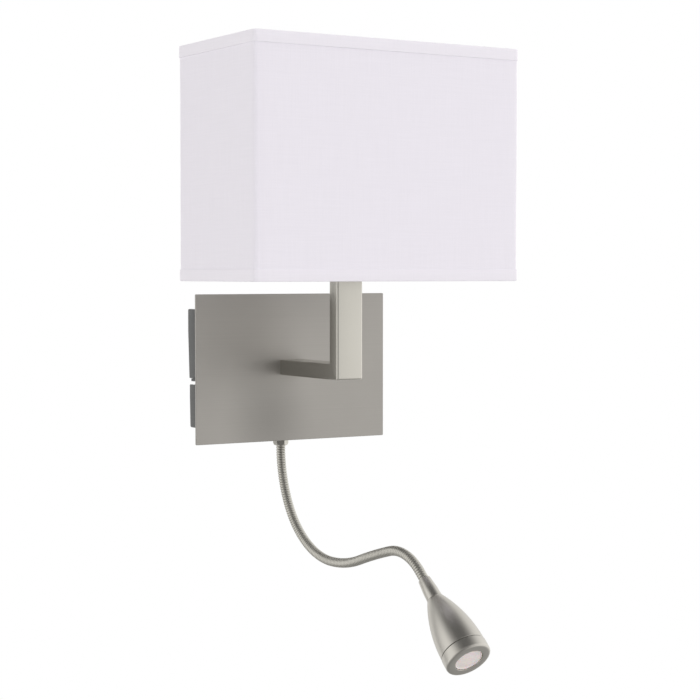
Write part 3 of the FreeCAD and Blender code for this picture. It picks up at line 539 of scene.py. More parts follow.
def skin(rows, loop_rows=False, caps=False, uvs=None):
    """A bmesh over rows of points. Each row is a closed loop of the same length."""
    shape = bmesh.new()
    made = [[shape.verts.new(point) for point in row] for row in rows]
    uv_layer = shape.loops.layers.uv.new("UVMap") if uvs else None
    count = len(rows[0])
    for r in range(len(rows) if loop_rows else len(rows) - 1):
        for c in range(count):
            corners = [(r, c), (r, c + 1), (r + 1, c + 1), (r + 1, c)]
            face = shape.faces.new([made[i % len(rows)][j % count] for i, j in corners])
            if uvs:
                for loop, (i, j) in zip(face.loops, corners):
                    loop[uv_layer].uv = (uvs[0][i], uvs[1][j])
    if caps:
        for end in (made[0], made[-1]):
            shape.faces.new(end)
    bmesh.ops.remove_doubles(shape, verts=shape.verts, dist=1e-7)
    bmesh.ops.dissolve_degenerate(shape, edges=shape.edges, dist=1e-8)
    bmesh.ops.recalc_face_normals(shape, faces=shape.faces)
    return shape


# %% Rounding corners
def softened(points, radius, steps=3, closed=True):
    """Replace the corners of an outline of 2D points by small arcs."""
    out = []
    count = len(points)
    for i, point in enumerate(points):
        here = Vector(point[:2])
        if not closed and i in (0, count - 1):
            out.append(here)
            continue
        before = Vector(points[i - 1][:2]) - here
        after = Vector(points[(i + 1) % count][:2]) - here
        size = point[2] if len(point) > 2 else radius
        angle = before.angle(after)
        cut = size / math.tan(angle / 2)
        cut = min(cut, 0.45 * before.length, 0.45 * after.length)
        if size <= 0 or angle > math.radians(178):
            out.append(here)
            continue
        start, end = here + before.normalized() * cut, here + after.normalized() * cut
        for k in range(steps + 1):
            t = k / steps
            out.append((1 - t) ** 2 * start + 2 * t * (1 - t) * here + t ** 2 * end)
    return out


# %% [markdown]
# ## The shade
#
# A rectangular shade like this is cotton laminated on a stiff sheet, wrapped round two wire frames
# and bound with folded tape. The cloth is one strip, glued to itself in an overlap at the back. We
# make it as that strip: a thin section that runs round a rectangle with small corners and passes
# over its own start. Very slight waves keep the panels from looking like glass.

# %% The line round the shade
panel_low, panel_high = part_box("shade_panel")
HALF_X = (panel_high.x - panel_low.x) / 2
HALF_Y = (panel_high.y - panel_low.y) / 2
MIDDLE_Y = (panel_high.y + panel_low.y) / 2
SHADE_CORNER = 3 * MM
OVERLAP = 9 * MM
JOIN_PLACE = 0.82
CORNER_STEPS = 6


def round_the_shade(inset, step, overlap=0.0):
    """Points round the shade's plan as (place, outward direction, distance), from the back."""
    radius = max(SHADE_CORNER - inset, 0.4 * MM)
    half_x, half_y = HALF_X - inset - radius, HALF_Y - inset - radius
    start_x = JOIN_PLACE * half_x
    corners = ((-half_x, half_y, 90), (-half_x, -half_y, 180), (half_x, -half_y, 270),
               (half_x, half_y, 0))
    line = [(Vector((start_x, half_y + radius)), Vector((0, 1)))]
    for x, y, first in corners:
        for k in range(CORNER_STEPS + 1):
            angle = math.radians(first + 90 / CORNER_STEPS * k)
            outward = Vector((math.cos(angle), math.sin(angle)))
            line.append((Vector((x, y)) + outward * radius, outward))
    line.append((Vector((start_x - overlap, half_y + radius)), Vector((0, 1))))
    dense, travelled = [(line[0][0], line[0][1], 0.0)], 0.0
    for (here, _), (there, outward) in zip(line, line[1:]):
        run = (there - here).length
        parts = max(1, round(run / step))
        for k in range(1, parts + 1):
            dense.append((here.lerp(there, k / parts), outward, travelled + run * k / parts))
        travelled += run
    return dense


LIFT_RUN = 3 * MM
WAVES_ALONG, WAVES_UP = 14, 9
WAVE_HEIGHT = 0.18


def wrap(line, section, lift=0.0, waves=0.0):
    """Rows that carry a section of (outward, height) points round a line."""
    rows = []
    length = line[-1][2]
    for place, outward, travelled in line:
        late = max(0.0, travelled - (length - OVERLAP - LIFT_RUN)) / LIFT_RUN
        extra = lift * min(late, 1.0)
        row = []
        for out, height in section:
            place_on_cloth = Vector((travelled * WAVES_ALONG, height * WAVES_UP, 0.5))
            sway = waves * noise.noise(place_on_cloth)
            ends = math.sin(math.pi * min(max(height - panel_low.z, 0) / WAVE_HEIGHT, 1.0))
            at = place + outward * (out + extra + sway * max(ends, 0.0))
            row.append((at.x, at.y + MIDDLE_Y, height))
        rows.append(row)
    return rows


# %% The cloth
CLOTH = 0.5 * MM
CLOTH_STEPS = 30


def strip_section(outer, thick, low, high, steps):
    """A closed section for a thin upright sheet."""
    heights = [low + (high - low) * k / steps for k in range(steps + 1)]
    return [(outer, h) for h in heights] + [(outer - thick, h) for h in reversed(heights)]


def measured(section):
    """The distance along a closed section at each of its points, and its whole length."""
    out = [0.0]
    for here, there in zip(section, section[1:] + section[:1]):
        out.append(out[-1] + math.dist(here, there))
    return out


def build_cover():
    line = round_the_shade(0.0, 6 * MM, OVERLAP)
    section = strip_section(-0.55 * MM + CLOTH, CLOTH, panel_low.z, panel_high.z, CLOTH_STEPS)
    rows = wrap(line, section, lift=CLOTH, waves=0.35 * MM)
    shape = skin(rows, caps=True, uvs=([p[2] for p in line], measured(section)))
    cover = add_piece("shade_cover", shape, "shade_fabric", "root", "shade_panel")
    return cover, line[-1][2]


shade_cover, strip_length = build_cover()
print("the strip is", round(strip_length / MM, 1), "mm long")


# %% The stiff liner inside the cloth
def build_liner():
    line = round_the_shade(0.0, 6 * MM)
    section = strip_section(
        -0.60 * MM, 0.55 * MM, panel_low.z + 0.1 * MM, panel_high.z - 0.1 * MM, 8)
    add_piece("shade_liner", skin(wrap(line[:-1], section), loop_rows=True), "shade_fabric",
              "root", finish=liner_finish)


build_liner()

# %% [markdown]
# The edging is a tape folded over the wire: a band outside, a fold over the edge and a short lip
# inside. Its section is drawn once and carried round the top and, upside down, round the bottom.

# %% The edging
HEM_HEIGHT = 9 * MM
TAPE = 0.6 * MM
WIRE_ROOM = 4.2 * MM
HEM_SECTION = softened([
    (0.02 * MM, HEM_HEIGHT, 0.0), (TAPE, HEM_HEIGHT, 0.25 * MM), (TAPE, 0.0, 1.1 * MM),
    (-WIRE_ROOM - TAPE, 0.0, 1.1 * MM), (-WIRE_ROOM - TAPE, 3.4 * MM, 0.2 * MM),
    (-WIRE_ROOM, 3.4 * MM, 0.2 * MM), (-WIRE_ROOM, TAPE, 0.6 * MM), (0.02 * MM, TAPE, 0.4 * MM)],
    0.2 * MM, 4)


def build_edging():
    """Both loops of tape as one piece."""
    low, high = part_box("shade_hems")
    both = bmesh.new()
    line = round_the_shade(0.0, 8 * MM)
    for edge, inward in ((low.z, 1), (high.z, -1)):
        section = [(p.x, edge + inward * p.y) for p in HEM_SECTION]
        shape = skin(wrap(line, section), caps=True,
                     uvs=([p[2] for p in line], measured(section)))
        mesh = bpy.data.meshes.new("edging")
        shape.to_mesh(mesh)
        both.from_mesh(mesh)
        shape.free()
    return add_piece("shade_edging", both, "shade_tape", "root", "shade_hems")


shade_edging = build_edging()

# %% [markdown]
# ## The arm
#
# The arm is rectangular tube, cut at 45 degrees, welded and ground flush, so it reads as one bent
# bar. Rows of the same rounded section are enough: one at the plate, one at the top, and between
# them a few that turn about a point just inside the elbow, so that its outer edge is ground a
# little round while the inner one stays sharp. The hole for the locking screw is drilled after.

# %% Arm tube
arm_low, arm_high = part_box("arm_horizontal")
arm_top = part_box("arm_vertical")[1].z
ARM_HALF_X = arm_high.x
ARM_HALF = arm_high.z
ARM_MIDDLE = arm_low.y + ARM_HALF
ARM_EDGE = 1.5 * MM
ELBOW = 2.0 * MM
ELBOW_STEPS = 5


def arm_rows():
    corners = ((-1, -1), (1, -1), (1, 1), (-1, 1))
    section = softened([(x * ARM_HALF_X, w * ARM_HALF) for x, w in corners], ARM_EDGE, 5)
    rows = [[(p.x, arm_high.y, p.y) for p in section]]
    for k in range(ELBOW_STEPS + 1):
        angle = math.radians(90 - 90 * k / ELBOW_STEPS)
        row = []
        for p in section:
            inside = p.y + ARM_HALF - ELBOW
            ahead, down = min(inside, 0) * math.cos(angle), min(inside, 0) * math.sin(angle)
            sharp = max(inside, 0)
            row.append((p.x, ARM_MIDDLE - ARM_HALF + ELBOW + ahead + sharp,
                        ELBOW - ARM_HALF + down + sharp))
        rows.append(row)
    rows.append([(p.x, ARM_MIDDLE + p.y, arm_top) for p in section])
    return rows


def drilled(piece, centre, radius, depth):
    """Cut a round blind hole straight down into a piece, and bake the result."""
    shape = bmesh.new()
    bmesh.ops.create_cone(
        shape, cap_ends=True, segments=32, radius1=radius, radius2=radius, depth=depth,
        matrix=Matrix.Translation(centre))
    cutter = new_object("drill", shape)
    cut = piece.modifiers.new("hole", "BOOLEAN")
    cut.object = cutter
    cut.operation = "DIFFERENCE"
    cut.solver = "EXACT"
    bake(piece)
    bpy.data.objects.remove(cutter)


def bake(piece):
    """Replace a piece's mesh by its evaluated one, and drop the modifiers."""
    bpy.context.view_layer.update()
    evaluated = piece.evaluated_get(bpy.context.evaluated_depsgraph_get())
    mesh = bpy.data.meshes.new_from_object(evaluated)
    piece.modifiers.clear()
    piece.data = mesh


def build_arm():
    arm = new_object("arm_tube", skin(arm_rows(), caps=True))
    grub_low, grub_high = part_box("arm_grub_screw")
    centre = (grub_low + grub_high) / 2
    drilled(arm, Vector((centre.x, centre.y, ARM_HALF)), (grub_high.x - grub_low.x) / 2,
            2 * (ARM_HALF - grub_low.z))
    settle(arm, "arm_nickel", "root", "arm_horizontal", "arm_vertical")


build_arm()

# %% [markdown]
# ## The gooseneck hose
#
# A gooseneck is a round wire wound into a tight spring, with a second, three-cornered wire pressed
# between its turns from outside. What shows is a helical row of beads. Geometry Nodes can wind it:
# a fine tube is swept along the hose's centreline, and each of its points is pushed in by an amount
# that depends on how far along and how far round it lies. The hose bends at its joints, so it is
# made in stretches that each reach from the middle of one length to the middle of the next. The
# count of turns carries on from stretch to stretch, so the spiral doesn't break at the seams.

# %% The hose's centreline
joint_at = {j["child"]: Vector(j["pos_m"]) for j in frame["joints"]}
BODIES = ["neck_1", "neck_2", "neck_3", "neck_4", "neck_5", "reading_head"]
stations = [joint_at[b] for b in BODIES]
NECK_STEP = 44.0 * MM
NECK_END = 7.8 * MM
HEAD_TURN = math.radians(-55.0)


def arcs_between():
    """For each length of hose in the YZ plane: its start, first heading and turn."""
    heading, found = 0.0, []
    for here, there in zip(stations, stations[1:]):
        chord = there - here
        middle = math.atan2(-chord.y, -chord.z)
        found.append((here, heading, 2 * (middle - heading)))
        heading += 2 * (middle - heading)
    found.append((stations[-1], heading, HEAD_TURN))
    return found


ARCS = arcs_between()


def on_hose(distance):
    """The point at a distance along the centreline, and the heading there."""
    index = min(max(int(distance / NECK_STEP), 0), len(ARCS) - 1)
    start, heading, turn = ARCS[index]
    rest = distance - index * NECK_STEP
    if distance < 0:
        turn, rest = 0.0, distance
    if distance > len(ARCS) * NECK_STEP:
        start, heading = on_hose(len(ARCS) * NECK_STEP)
        turn, rest = 0.0, distance - len(ARCS) * NECK_STEP
    bend = turn * rest / NECK_STEP
    chord = rest if abs(bend) < 1e-6 else 2 * rest / bend * math.sin(bend / 2)
    way = heading + bend / 2
    return start + Vector((0, -math.sin(way), -math.cos(way))) * chord, heading + bend


head_at, head_heading = on_hose(len(ARCS) * NECK_STEP + NECK_END)
head_axis = Vector((0, -math.sin(head_heading), -math.cos(head_heading)))
print("head starts at", [round(c / MM, 2) for c in head_at], "heading",
      round(math.degrees(head_heading), 1), "degrees")

# %% A tree that winds wire along a line
def new_tree(name, sockets):
    """A Geometry Nodes tree with a mesh in, named number inputs and a mesh out."""
    tree = bpy.data.node_groups.new(name, "GeometryNodeTree")
    tree.interface.new_socket("Geometry", in_out="INPUT", socket_type="NodeSocketGeometry")
    for label, value in sockets.items():
        kind = {int: "Int", float: "Float", tuple: "Vector"}.get(type(value), "Material")
        socket = tree.interface.new_socket(
            label, in_out="INPUT", socket_type="NodeSocket" + kind)
        if value is not None:
            socket.default_value = value
    tree.interface.new_socket("Geometry", in_out="OUTPUT", socket_type="NodeSocketGeometry")
    given = tree.nodes.new("NodeGroupInput").outputs
    return tree, given, tree.nodes.new("NodeGroupOutput")


def stored(tree, geometry, name, value, kind="FLOAT"):
    """Store a value on the geometry's points under a name. Returns the geometry output."""
    store = add_node(tree, "GeometryNodeStoreNamedAttribute", data_type=kind, domain="POINT",
                     inputs={"Geometry": geometry, "Name": name, "Value": value})
    return store.outputs["Geometry"]


def named(tree, name, kind="FLOAT"):
    return add_node(tree, "GeometryNodeInputNamedAttribute", data_type=kind,
                    inputs={"Name": name}).outputs["Attribute"]


def finish_tree(tree, geometry, given, result):
    """Realize what was instanced and give it the material that was asked for."""
    real = add_node(tree, "GeometryNodeRealizeInstances", inputs={"Geometry": geometry})
    dress = add_node(tree, "GeometryNodeSetMaterial", inputs={
        "Geometry": real.outputs[0], "Material": given["Material"]})
    feed(tree, result.inputs["Geometry"], dress.outputs[0])


PITCH = 2.15 * MM


def build_hose_tree():
    tree, given, result = new_tree("wound_hose", {
        "Radius": 3.8 * MM, "Bead Depth": 0.8 * MM, "Pitch": PITCH, "Start": 0.0,
        "Sides": 24, "Material": None})
    curve = add_node(tree, "GeometryNodeMeshToCurve", inputs={"Mesh": given["Geometry"]})
    face = add_node(tree, "GeometryNodeSetCurveNormal", mode="FREE", inputs={
        "Curve": curve.outputs[0], "Normal": (1, 0, 0)})
    length = add_node(tree, "GeometryNodeSplineParameter")
    along = math_node(tree, "ADD", length.outputs["Length"], given["Start"])
    line = stored(tree, face.outputs[0], "along", along)
    centre = add_node(tree, "GeometryNodeInputPosition")
    line = stored(tree, line, "centre", centre.outputs[0], "FLOAT_VECTOR")
    ring = add_node(tree, "GeometryNodeCurvePrimitiveCircle", inputs={
        "Resolution": given["Sides"], "Radius": given["Radius"]})
    around = add_node(tree, "GeometryNodeSplineParameter")
    section = stored(tree, ring.outputs["Curve"], "around", around.outputs["Factor"])
    sweep = add_node(tree, "GeometryNodeCurveToMesh", inputs={
        "Curve": line, "Profile Curve": section, "Fill Caps": True})
    turns = math_node(tree, "DIVIDE", named(tree, "along"), given["Pitch"])
    phase = math_node(tree, "FRACT", math_node(tree, "ADD", turns, named(tree, "around")))
    side = math_node(tree, "MULTIPLY_ADD", phase, 2.0, -1.0)
    drop = math_node(tree, "MULTIPLY", math_node(tree, "MULTIPLY", side, side), 0.96)
    bead = math_node(tree, "SQRT", math_node(tree, "SUBTRACT", 1.0, drop))
    depth = math_node(
        tree, "MULTIPLY", math_node(tree, "SUBTRACT", bead, 1.0), given["Bead Depth"])
    here = add_node(tree, "GeometryNodeInputPosition")
    outward = vector_node(
        tree, "SUBTRACT", here.outputs[0], named(tree, "centre", "FLOAT_VECTOR")).outputs[0]
    push = add_node(tree, "ShaderNodeVectorMath", operation="SCALE", inputs={
        0: vector_node(tree, "NORMALIZE", outward).outputs[0], "Scale": depth})
    move = add_node(tree, "GeometryNodeSetPosition", inputs={
        "Geometry": sweep.outputs[0], "Offset": push.outputs[0]})
    finish_tree(tree, move.outputs[0], given, result)
    return tree


hose_tree = build_hose_tree()


def grown(name, tree, points, edges=(), aims=None, **inputs):
    """Run a tree on a few points, set its inputs by identifier, and bake the result."""
    mesh = bpy.data.meshes.new(name)
    mesh.from_pydata(points, edges, [])
    if aims:
        directions = mesh.attributes.new("aim", "FLOAT_VECTOR", "POINT")
        directions.data.foreach_set("vector", [c for aim in aims for c in aim])
    piece = bpy.data.objects.new(name, mesh)
    scene.collection.objects.link(piece)
    modifier = piece.modifiers.new(tree.name, "NODES")
    modifier.node_group = tree
    sockets = {s.name: s.identifier for s in tree.interface.items_tree if s.in_out == "INPUT"}
    for label, value in inputs.items():
        modifier[sockets[label.replace("_", " ")]] = value
    bake(piece)
    return piece


# %% Wind the hose
SAMPLES_A_TURN = 10
IN_THE_NUT = -3.5 * MM
IN_THE_COLLAR = 8 * MM


def hose_stretch(number, start, end, replaced, second):
    """One stretch of hose from start to end along the centreline, between two bodies."""
    count = round((end - start) / PITCH * SAMPLES_A_TURN)
    points = [on_hose(start + (end - start) * k / count)[0] for k in range(count + 1)]
    edges = [(k, k + 1) for k in range(count)]
    hose = grown("neck_hose_" + str(number), hose_tree, points, edges, Start=start,
                 Material=FINISHES["neck_nickel"])
    settle(hose, "neck_nickel", None, *replaced, crease=60.0)
    middle = BODIES.index(second) * NECK_STEP
    on_hose(middle - NECK_STEP / 2)[0]
    on_hose(middle + NECK_STEP / 2)[0]
    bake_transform(hose)


LAST = len(BODIES) - 1
for index in range(LAST):
    first = IN_THE_NUT if index == 0 else (index + 0.5) * NECK_STEP
    last = (index + 1.5) * NECK_STEP
    replaced = ["neck_segment_" + str(index + 2)]
    if index == 0:
        replaced.append("neck_segment_1")
    if index == LAST - 1:
        last = len(BODIES) * NECK_STEP + NECK_END + IN_THE_COLLAR
    hose_stretch(index + 1, first, last, replaced, BODIES[index + 1])

# %% [markdown]
# ## The reading head
#
# The head is turned from bar: a slim collar, a bullet-shaped shell, and a bezel that screws on and
# holds the lens. A turned part is its profile carried round an axis. Corners get small arcs, since
# no lathe leaves a perfectly sharp edge, and the thin gap between shell and bezel is left open.

# %% Turning
TURNED_SIDES = 128


def turned(name, profile, slot, body, *stands_for):
    """A piece of the head turned from a profile of (radius, distance along) points."""
    across = Vector((1, 0, 0))
    other = head_axis.cross(across)
    rows = []
    for k in range(TURNED_SIDES):
        angle = 2 * math.pi * k / TURNED_SIDES
        outward = across * math.cos(angle) + other * math.sin(angle)
        rows.append([head_at + head_axis * p[1] + outward * p[0] for p in profile])
    add_piece(name, skin(rows, loop_rows=True), slot, body, *stands_for)


def in_mm(points, steps=3, closed=True):
    """An outline of (radius, distance, rounding) in millimetres, softened and put in metres."""
    return [p * MM for p in softened(points, 0.0, steps, closed)]


# %% Collar, shell and bezel
COLLAR_LENGTH = 18.6
SHELL_END = 65.6
HEAD_RADIUS = 17.0
HEAD_LENGTH = 75.2
BEZEL_RADIUS = 17.3
SHELL_NOSE = 6.3
SEAM = 0.7


def bullet(at):
    """The shell's radius at a distance along the head: an arc that ends parallel to the axis."""
    length, rise = SHELL_END - COLLAR_LENGTH, HEAD_RADIUS - SHELL_NOSE
    bend = (length ** 2 + rise ** 2) / (2 * rise)
    return HEAD_RADIUS - bend + math.sqrt(bend ** 2 - (SHELL_END - at) ** 2)


turned("head_collar_turned", in_mm([
    (3.9, 0.0, 0.1), (4.7, 0.0, 0.35), (5.65, 10.0, 8.0), (5.95, 18.5, 0.25), (5.3, 18.62, 0.0),
    (3.9, 18.6, 0.0)]),
    "head_nickel", "reading_head", "head_collar")

SHELL_STEPS = 28
shell_outside = [
    (bullet(at), at, 0.0) for at in (
        COLLAR_LENGTH + 0.25 + (SHELL_END - 0.25 - COLLAR_LENGTH - 0.25) * k / SHELL_STEPS
        for k in range(SHELL_STEPS + 1))]
turned("head_shell_turned", in_mm(
    [(4.2, COLLAR_LENGTH, 0.0), (SHELL_NOSE - 0.25, COLLAR_LENGTH, 0.0)] + shell_outside + [
        (HEAD_RADIUS - 0.2, SHELL_END, 0.0), (14.6, SHELL_END, 0.0), (14.6, SHELL_END - 5, 0.0),
        (12.0, SHELL_END - 10, 0.0), (4.2, COLLAR_LENGTH + 5, 0.0)]),
    "head_nickel", "reading_head", "head_shell")

LENS_RADIUS = 10.75
turned("head_bezel_turned", in_mm([
    (14.5, SHELL_END - 4, 0.0), (14.5, SHELL_END + SEAM, 0.0),
    (BEZEL_RADIUS, SHELL_END + SEAM, 0.2), (BEZEL_RADIUS, HEAD_LENGTH, 2.2),
    (LENS_RADIUS, HEAD_LENGTH, 0.35),
    (LENS_RADIUS, HEAD_LENGTH - 1.3, 0.1), (11.55, HEAD_LENGTH - 1.3, 0.0),
    (11.55, HEAD_LENGTH - 2.8, 0.0), (12.9, HEAD_LENGTH - 2.8, 0.0), (12.9, SHELL_END - 4, 0.0)],
    steps=6), "head_nickel", "reading_head", "head_bezel")

# %% The lens, with a raised rim
turned("head_lens_moulded", in_mm([
    (0.0, 74.45, 0.0), (4.0, 74.42, 0.0), (8.0, 74.25, 0.5), (9.6, 74.15, 0.3), (9.9, 74.5, 0.15),
    (10.5, 74.5, 0.15), (10.7, 74.1, 0.1), (10.7, 72.6, 0.0), (0.0, 72.6, 0.0)], closed=False),
    "lens_frost", "reading_head", "head_lens")

# %% [markdown]
# ## The gland nut
#
# The hose hangs from a six-sided nut. A real nut starts as a hexagon whose corners are turned off
# at both ends, which leaves curved arcs on each flat. That is a hexagon cut by a cone: at each
# height the radius is the smaller of the two.

# %% Gland nut
def hexagon_radius(angle, across_flats):
    sector = (math.degrees(angle) - 30) % 60 - 30
    return across_flats / 2 / math.cos(math.radians(sector))


NUT_BORE = 3.85 * MM
NUT_SIDES = 96


def build_nut():
    """A nut chamfered at both ends, about an upright axis."""
    nut_low, nut_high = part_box("gland_nut")
    low, high, centre = nut_low.z, nut_high.z, (nut_low + nut_high) / 2
    across_flats = nut_high.x - nut_low.x
    corner = across_flats / math.sqrt(3)
    chamfer = 0.16 * across_flats
    limits = [(low, across_flats * 0.47), (low + 0.02 * across_flats, across_flats * 0.5)]
    limits += [(low + chamfer * k / 4, across_flats / 2 + (corner - across_flats / 2) * k / 4)
               for k in range(1, 5)]
    limits += [(low + high - z, limit) for z, limit in reversed(limits)]
    angles = [2 * math.pi * k / NUT_SIDES for k in range(NUT_SIDES)]
    rounds = [(z, [min(hexagon_radius(a, across_flats), limit) for a in angles])
              for z, limit in limits]
    rounds += [(z, [NUT_BORE] * NUT_SIDES) for z in (high, low)]
    rows = [[(centre.x + r * math.cos(a), centre.y + r * math.sin(a), z)
             for a, r in zip(angles, radii)] for z, radii in rounds]
    add_piece("gland_nut_chamfered", skin(rows, loop_rows=True), "neck_nickel", "root",
              "gland_nut", crease=20.0)


build_nut()

# %% [markdown]
# ## Screws and ring nuts
#
# A box holds itself together with a handful of screws that only differ in size and direction, and
# the shade sits between two ring nuts with grip notches round their rims. Both repeat, so both are
# trees: one makes a domed, slotted screw and sets it on every point, turned to that point's aim;
# the other cuts a notch out of a ring at every point of a circle. Where each screw sits, and which
# way it points, is read from the frame's own solids.

# %% Where the solids of a node are
def islands(node):
    """The separate solids of a CAD node, each as its list of points."""
    shape = bmesh.new()
    shape.from_mesh(cad_nodes[node].data)
    bmesh.ops.remove_doubles(shape, verts=shape.verts, dist=1e-6)
    seen, found = set(), []
    for first in shape.verts:
        if first in seen:
            continue
        seen.add(first)
        queue, points = [first], []
        while queue:
            vert = queue.pop()
            points.append(vert.co.copy())
            for edge in vert.link_edges:
                other = edge.other_vert(vert)
                if other not in seen:
                    seen.add(other)
                    queue.append(other)
        found.append(points)
    shape.free()
    return found


def seats(node, axis):
    """For each screw of a node: the middle of its head's underside, and the way its head points."""
    line = Vector(axis)
    out = []
    for points in islands(node):
        middle = sum(points, Vector()) / len(points)
        along = [(p - middle).dot(line) for p in points]
        away = [((p - middle) - line * t).length for p, t in zip(points, along)]
        widest = max(away)
        sign = 1 if along[away.index(widest)] > 0 else -1
        rim = [t for t, r in zip(along, away) if r > 0.98 * widest]
        under = min(rim) if sign > 0 else max(rim)
        out.append((middle + line * under, line * sign))
    return out


# %% A tree of slotted screws
def cube(tree, size, at):
    """A box in a tree, from two vectors or vector sockets."""
    box = add_node(tree, "GeometryNodeMeshCube", inputs={"Size": size})
    return add_node(tree, "GeometryNodeTransform", inputs={
        "Geometry": box.outputs["Mesh"], "Translation": at}).outputs[0]


def joined_axes(tree, *values):
    """A vector socket from three numbers or sockets."""
    return add_node(
        tree, "ShaderNodeCombineXYZ", inputs=dict(enumerate(values))).outputs[0]


def carved(tree, operation, solid, tool):
    """A boolean between two solids of a tree."""
    cut = add_node(tree, "GeometryNodeMeshBoolean", operation=operation)
    first = "Mesh 1" if operation == "DIFFERENCE" else "Mesh 2"
    feed(tree, cut.inputs[first], solid)
    feed(tree, cut.inputs["Mesh 2"], tool)
    return cut.outputs["Mesh"]


def build_screw_tree():
    tree, given, result = new_tree("slotted_screws", {
        "Head Radius": 4.0 * MM, "Head Height": 3.0 * MM, "Shank Radius": 1.7 * MM,
        "Shank Length": 5.0 * MM, "Material": None})
    radius, height = given["Head Radius"], given["Head Height"]
    ball = add_node(tree, "GeometryNodeMeshUVSphere", inputs={
        "Segments": 40, "Rings": 20, "Radius": radius})
    flatter = joined_axes(tree, 1.0, 1.0, math_node(tree, "DIVIDE", height, radius))
    dome = add_node(tree, "GeometryNodeTransform", inputs={
        "Geometry": ball.outputs["Mesh"], "Scale": flatter})
    wide = math_node(tree, "MULTIPLY", radius, 3.0)
    above = cube(tree, joined_axes(tree, wide, wide, wide),
                 joined_axes(tree, 0.0, 0.0, math_node(tree, "MULTIPLY", radius, 1.5)))
    head = carved(tree, "INTERSECT", dome.outputs[0], above)
    slit = cube(tree, joined_axes(tree, wide, math_node(tree, "MULTIPLY", radius, 0.24), height),
                joined_axes(tree, 0.0, 0.0, math_node(tree, "MULTIPLY", height, 1.05)))
    head = carved(tree, "DIFFERENCE", head, slit)
    rod = add_node(tree, "GeometryNodeMeshCylinder", inputs={
        "Vertices": 28, "Radius": given["Shank Radius"],
        "Depth": given["Shank Length"]})
    half = math_node(tree, "MULTIPLY", given["Shank Length"], -0.5)
    shank = add_node(tree, "GeometryNodeTransform", inputs={
        "Geometry": rod.outputs["Mesh"], "Translation": joined_axes(tree, 0.0, 0.0, half)})
    screw = add_node(tree, "GeometryNodeJoinGeometry", inputs={0: shank.outputs[0]})
    feed(tree, screw.inputs[0], head)
    turn = add_node(tree, "FunctionNodeAlignRotationToVector", axis="Z", inputs={
        "Vector": named(tree, "aim", "FLOAT_VECTOR")})
    place = add_node(tree, "GeometryNodeInstanceOnPoints", inputs={
        "Points": given["Geometry"], "Instance": screw.outputs[0],
        "Rotation": turn.outputs[0]})
    finish_tree(tree, place.outputs[0], given, result)
    return tree


screw_tree = build_screw_tree()

# %% Set the screws
SCREWS = {
    "box_screws": ((0, 0, 1), "zinc_steel", 4.0, 2.9, 1.7, 5.0),
    "arm_screws": ((0, 1, 0), "zinc_steel", 3.0, 2.1, 1.5, 12.0),
}
for node, (axis, slot, head, height, shank, length) in SCREWS.items():
    found = seats(node, axis)
    piece = grown(node + "_slotted", screw_tree, [at for at, _ in found],
                  aims=[aim for _, aim in found], Head_Radius=head * MM, Head_Height=height * MM,
                  Shank_Radius=shank * MM, Shank_Length=length * MM, Material=FINISHES[slot])
    settle(piece, slot, "root", node)
    print(node, "at", [[round(c / MM, 1) for c in at] for at, _ in found])


# %% A tree of notched rings
def build_ring_tree():
    tree, given, result = new_tree("notched_rings", {
        "Radius": 26.0 * MM, "Bore": 19.6 * MM, "Thickness": 5.0 * MM, "Notch": 2.0 * MM,
        "Notches": 16, "Material": None})
    deep = math_node(tree, "MULTIPLY", given["Thickness"], 2.0)
    solids = []
    for size, sides, depth in (("Radius", 96, given["Thickness"]), ("Bore", 96, deep),
                               ("Notch", 20, deep)):
        disc = add_node(tree, "GeometryNodeMeshCylinder", inputs={
            "Vertices": sides, "Radius": given[size], "Depth": depth})
        solids.append(disc.outputs["Mesh"])
    rim = add_node(tree, "GeometryNodeMeshCircle", inputs={
        "Vertices": given["Notches"], "Radius": given["Radius"]})
    pins = add_node(tree, "GeometryNodeInstanceOnPoints", inputs={
        "Points": rim.outputs["Mesh"], "Instance": solids[2]})
    apart = add_node(tree, "GeometryNodeRealizeInstances", inputs={0: pins.outputs[0]})
    ring = carved(tree, "DIFFERENCE", solids[0], solids[1])
    place = add_node(tree, "GeometryNodeInstanceOnPoints", inputs={
        "Points": given["Geometry"],
        "Instance": carved(tree, "DIFFERENCE", ring, apart.outputs[0])})
    finish_tree(tree, place.outputs[0], given, result)
    return tree


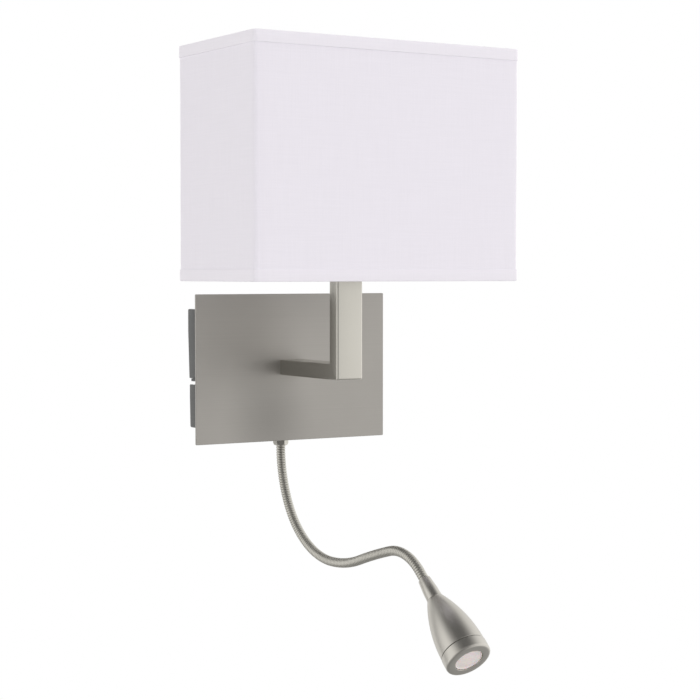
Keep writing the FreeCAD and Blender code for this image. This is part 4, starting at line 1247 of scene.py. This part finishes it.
# %% Ring nuts
ring_tree = build_ring_tree()
ring_spots, ring_sizes = [], []
for points in islands("shade_rings"):
    lows = [min(p[axis] for p in points) for axis in range(3)]
    highs = [max(p[axis] for p in points) for axis in range(3)]
    ring_spots.append([(a + b) / 2 for a, b in zip(lows, highs)])
    ring_sizes = [(highs[0] - lows[0]) / 2, highs[2] - lows[2]]
holder_low, holder_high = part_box("lampholder_sleeve")
ring_nuts = grown("shade_ring_nuts", ring_tree, ring_spots, Radius=ring_sizes[0],
                  Bore=(holder_high.x - holder_low.x) / 2 + 0.1 * MM, Thickness=ring_sizes[1],
                  Material=FINISHES["holder_plastic"])
settle(ring_nuts, "holder_plastic", "root", "shade_rings")
print("ring nuts", [round(r / MM, 1) for r in ring_sizes])

# %% [markdown]
# ## The rocker switches
#
# Each switch is a frame with a paddle that tilts on a hidden pin. A moulded part has no sharp edge
# anywhere, so the side outline is drawn with generous corners, extruded across the switch and then
# finished with a bevel.

# %% Switch pieces
PADDLE_BACK = -75.7 * MM


def extruded(name, outline, across, slot, body, *stands_for, bevel=0.5 * MM):
    """A moulded piece: a softened outline in X and Z, extruded along Y and bevelled."""
    flat = softened(outline, 0.0, 5)
    piece = new_object(name, skin([[(p.x, y, p.y) for p in flat] for y in across], caps=True))
    edges = piece.modifiers.new("edges", "BEVEL")
    edges.width = bevel
    edges.segments = 3
    edges.limit_method = "ANGLE"
    edges.angle_limit = math.radians(40)
    bake(piece)
    return settle(piece, slot, body, *stands_for)


def build_rocker(name, node, housing, body, slope, press, rounded_top):
    """A paddle as deep as its CAD node outside the frame."""
    low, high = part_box(node)
    frame_low, frame_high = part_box(housing)
    middle = (frame_low.z + frame_high.z) / 2
    knee = middle + 0.2 * (high.z - low.z)
    upper, lower = (2.4 * MM, 0.6 * MM) if rounded_top else (0.6 * MM, 2.4 * MM)
    outline = [
        (low.x, high.z, upper), (low.x, knee, 3 * MM), (low.x + slope, low.z, lower),
        (PADDLE_BACK, low.z, 0.2 * MM), (PADDLE_BACK, middle, 0.0),
        (PADDLE_BACK - press, high.z, 0.2 * MM)]
    extruded(name, outline, (low.y, high.y), "switch_plastic", body, node)
    print(name, "reaches", round(low.x / MM, 1), "mm, frame", round(frame_low.x / MM, 1))


build_rocker("rocker_paddle_main", "rocker_main", "switch_housing_main", "main_rocker",
             1.0 * MM, 2.8 * MM, True)
build_rocker("rocker_paddle_reading", "rocker_reading", "switch_housing_reading",
             "reading_rocker", 0.4 * MM, 2.4 * MM, False)
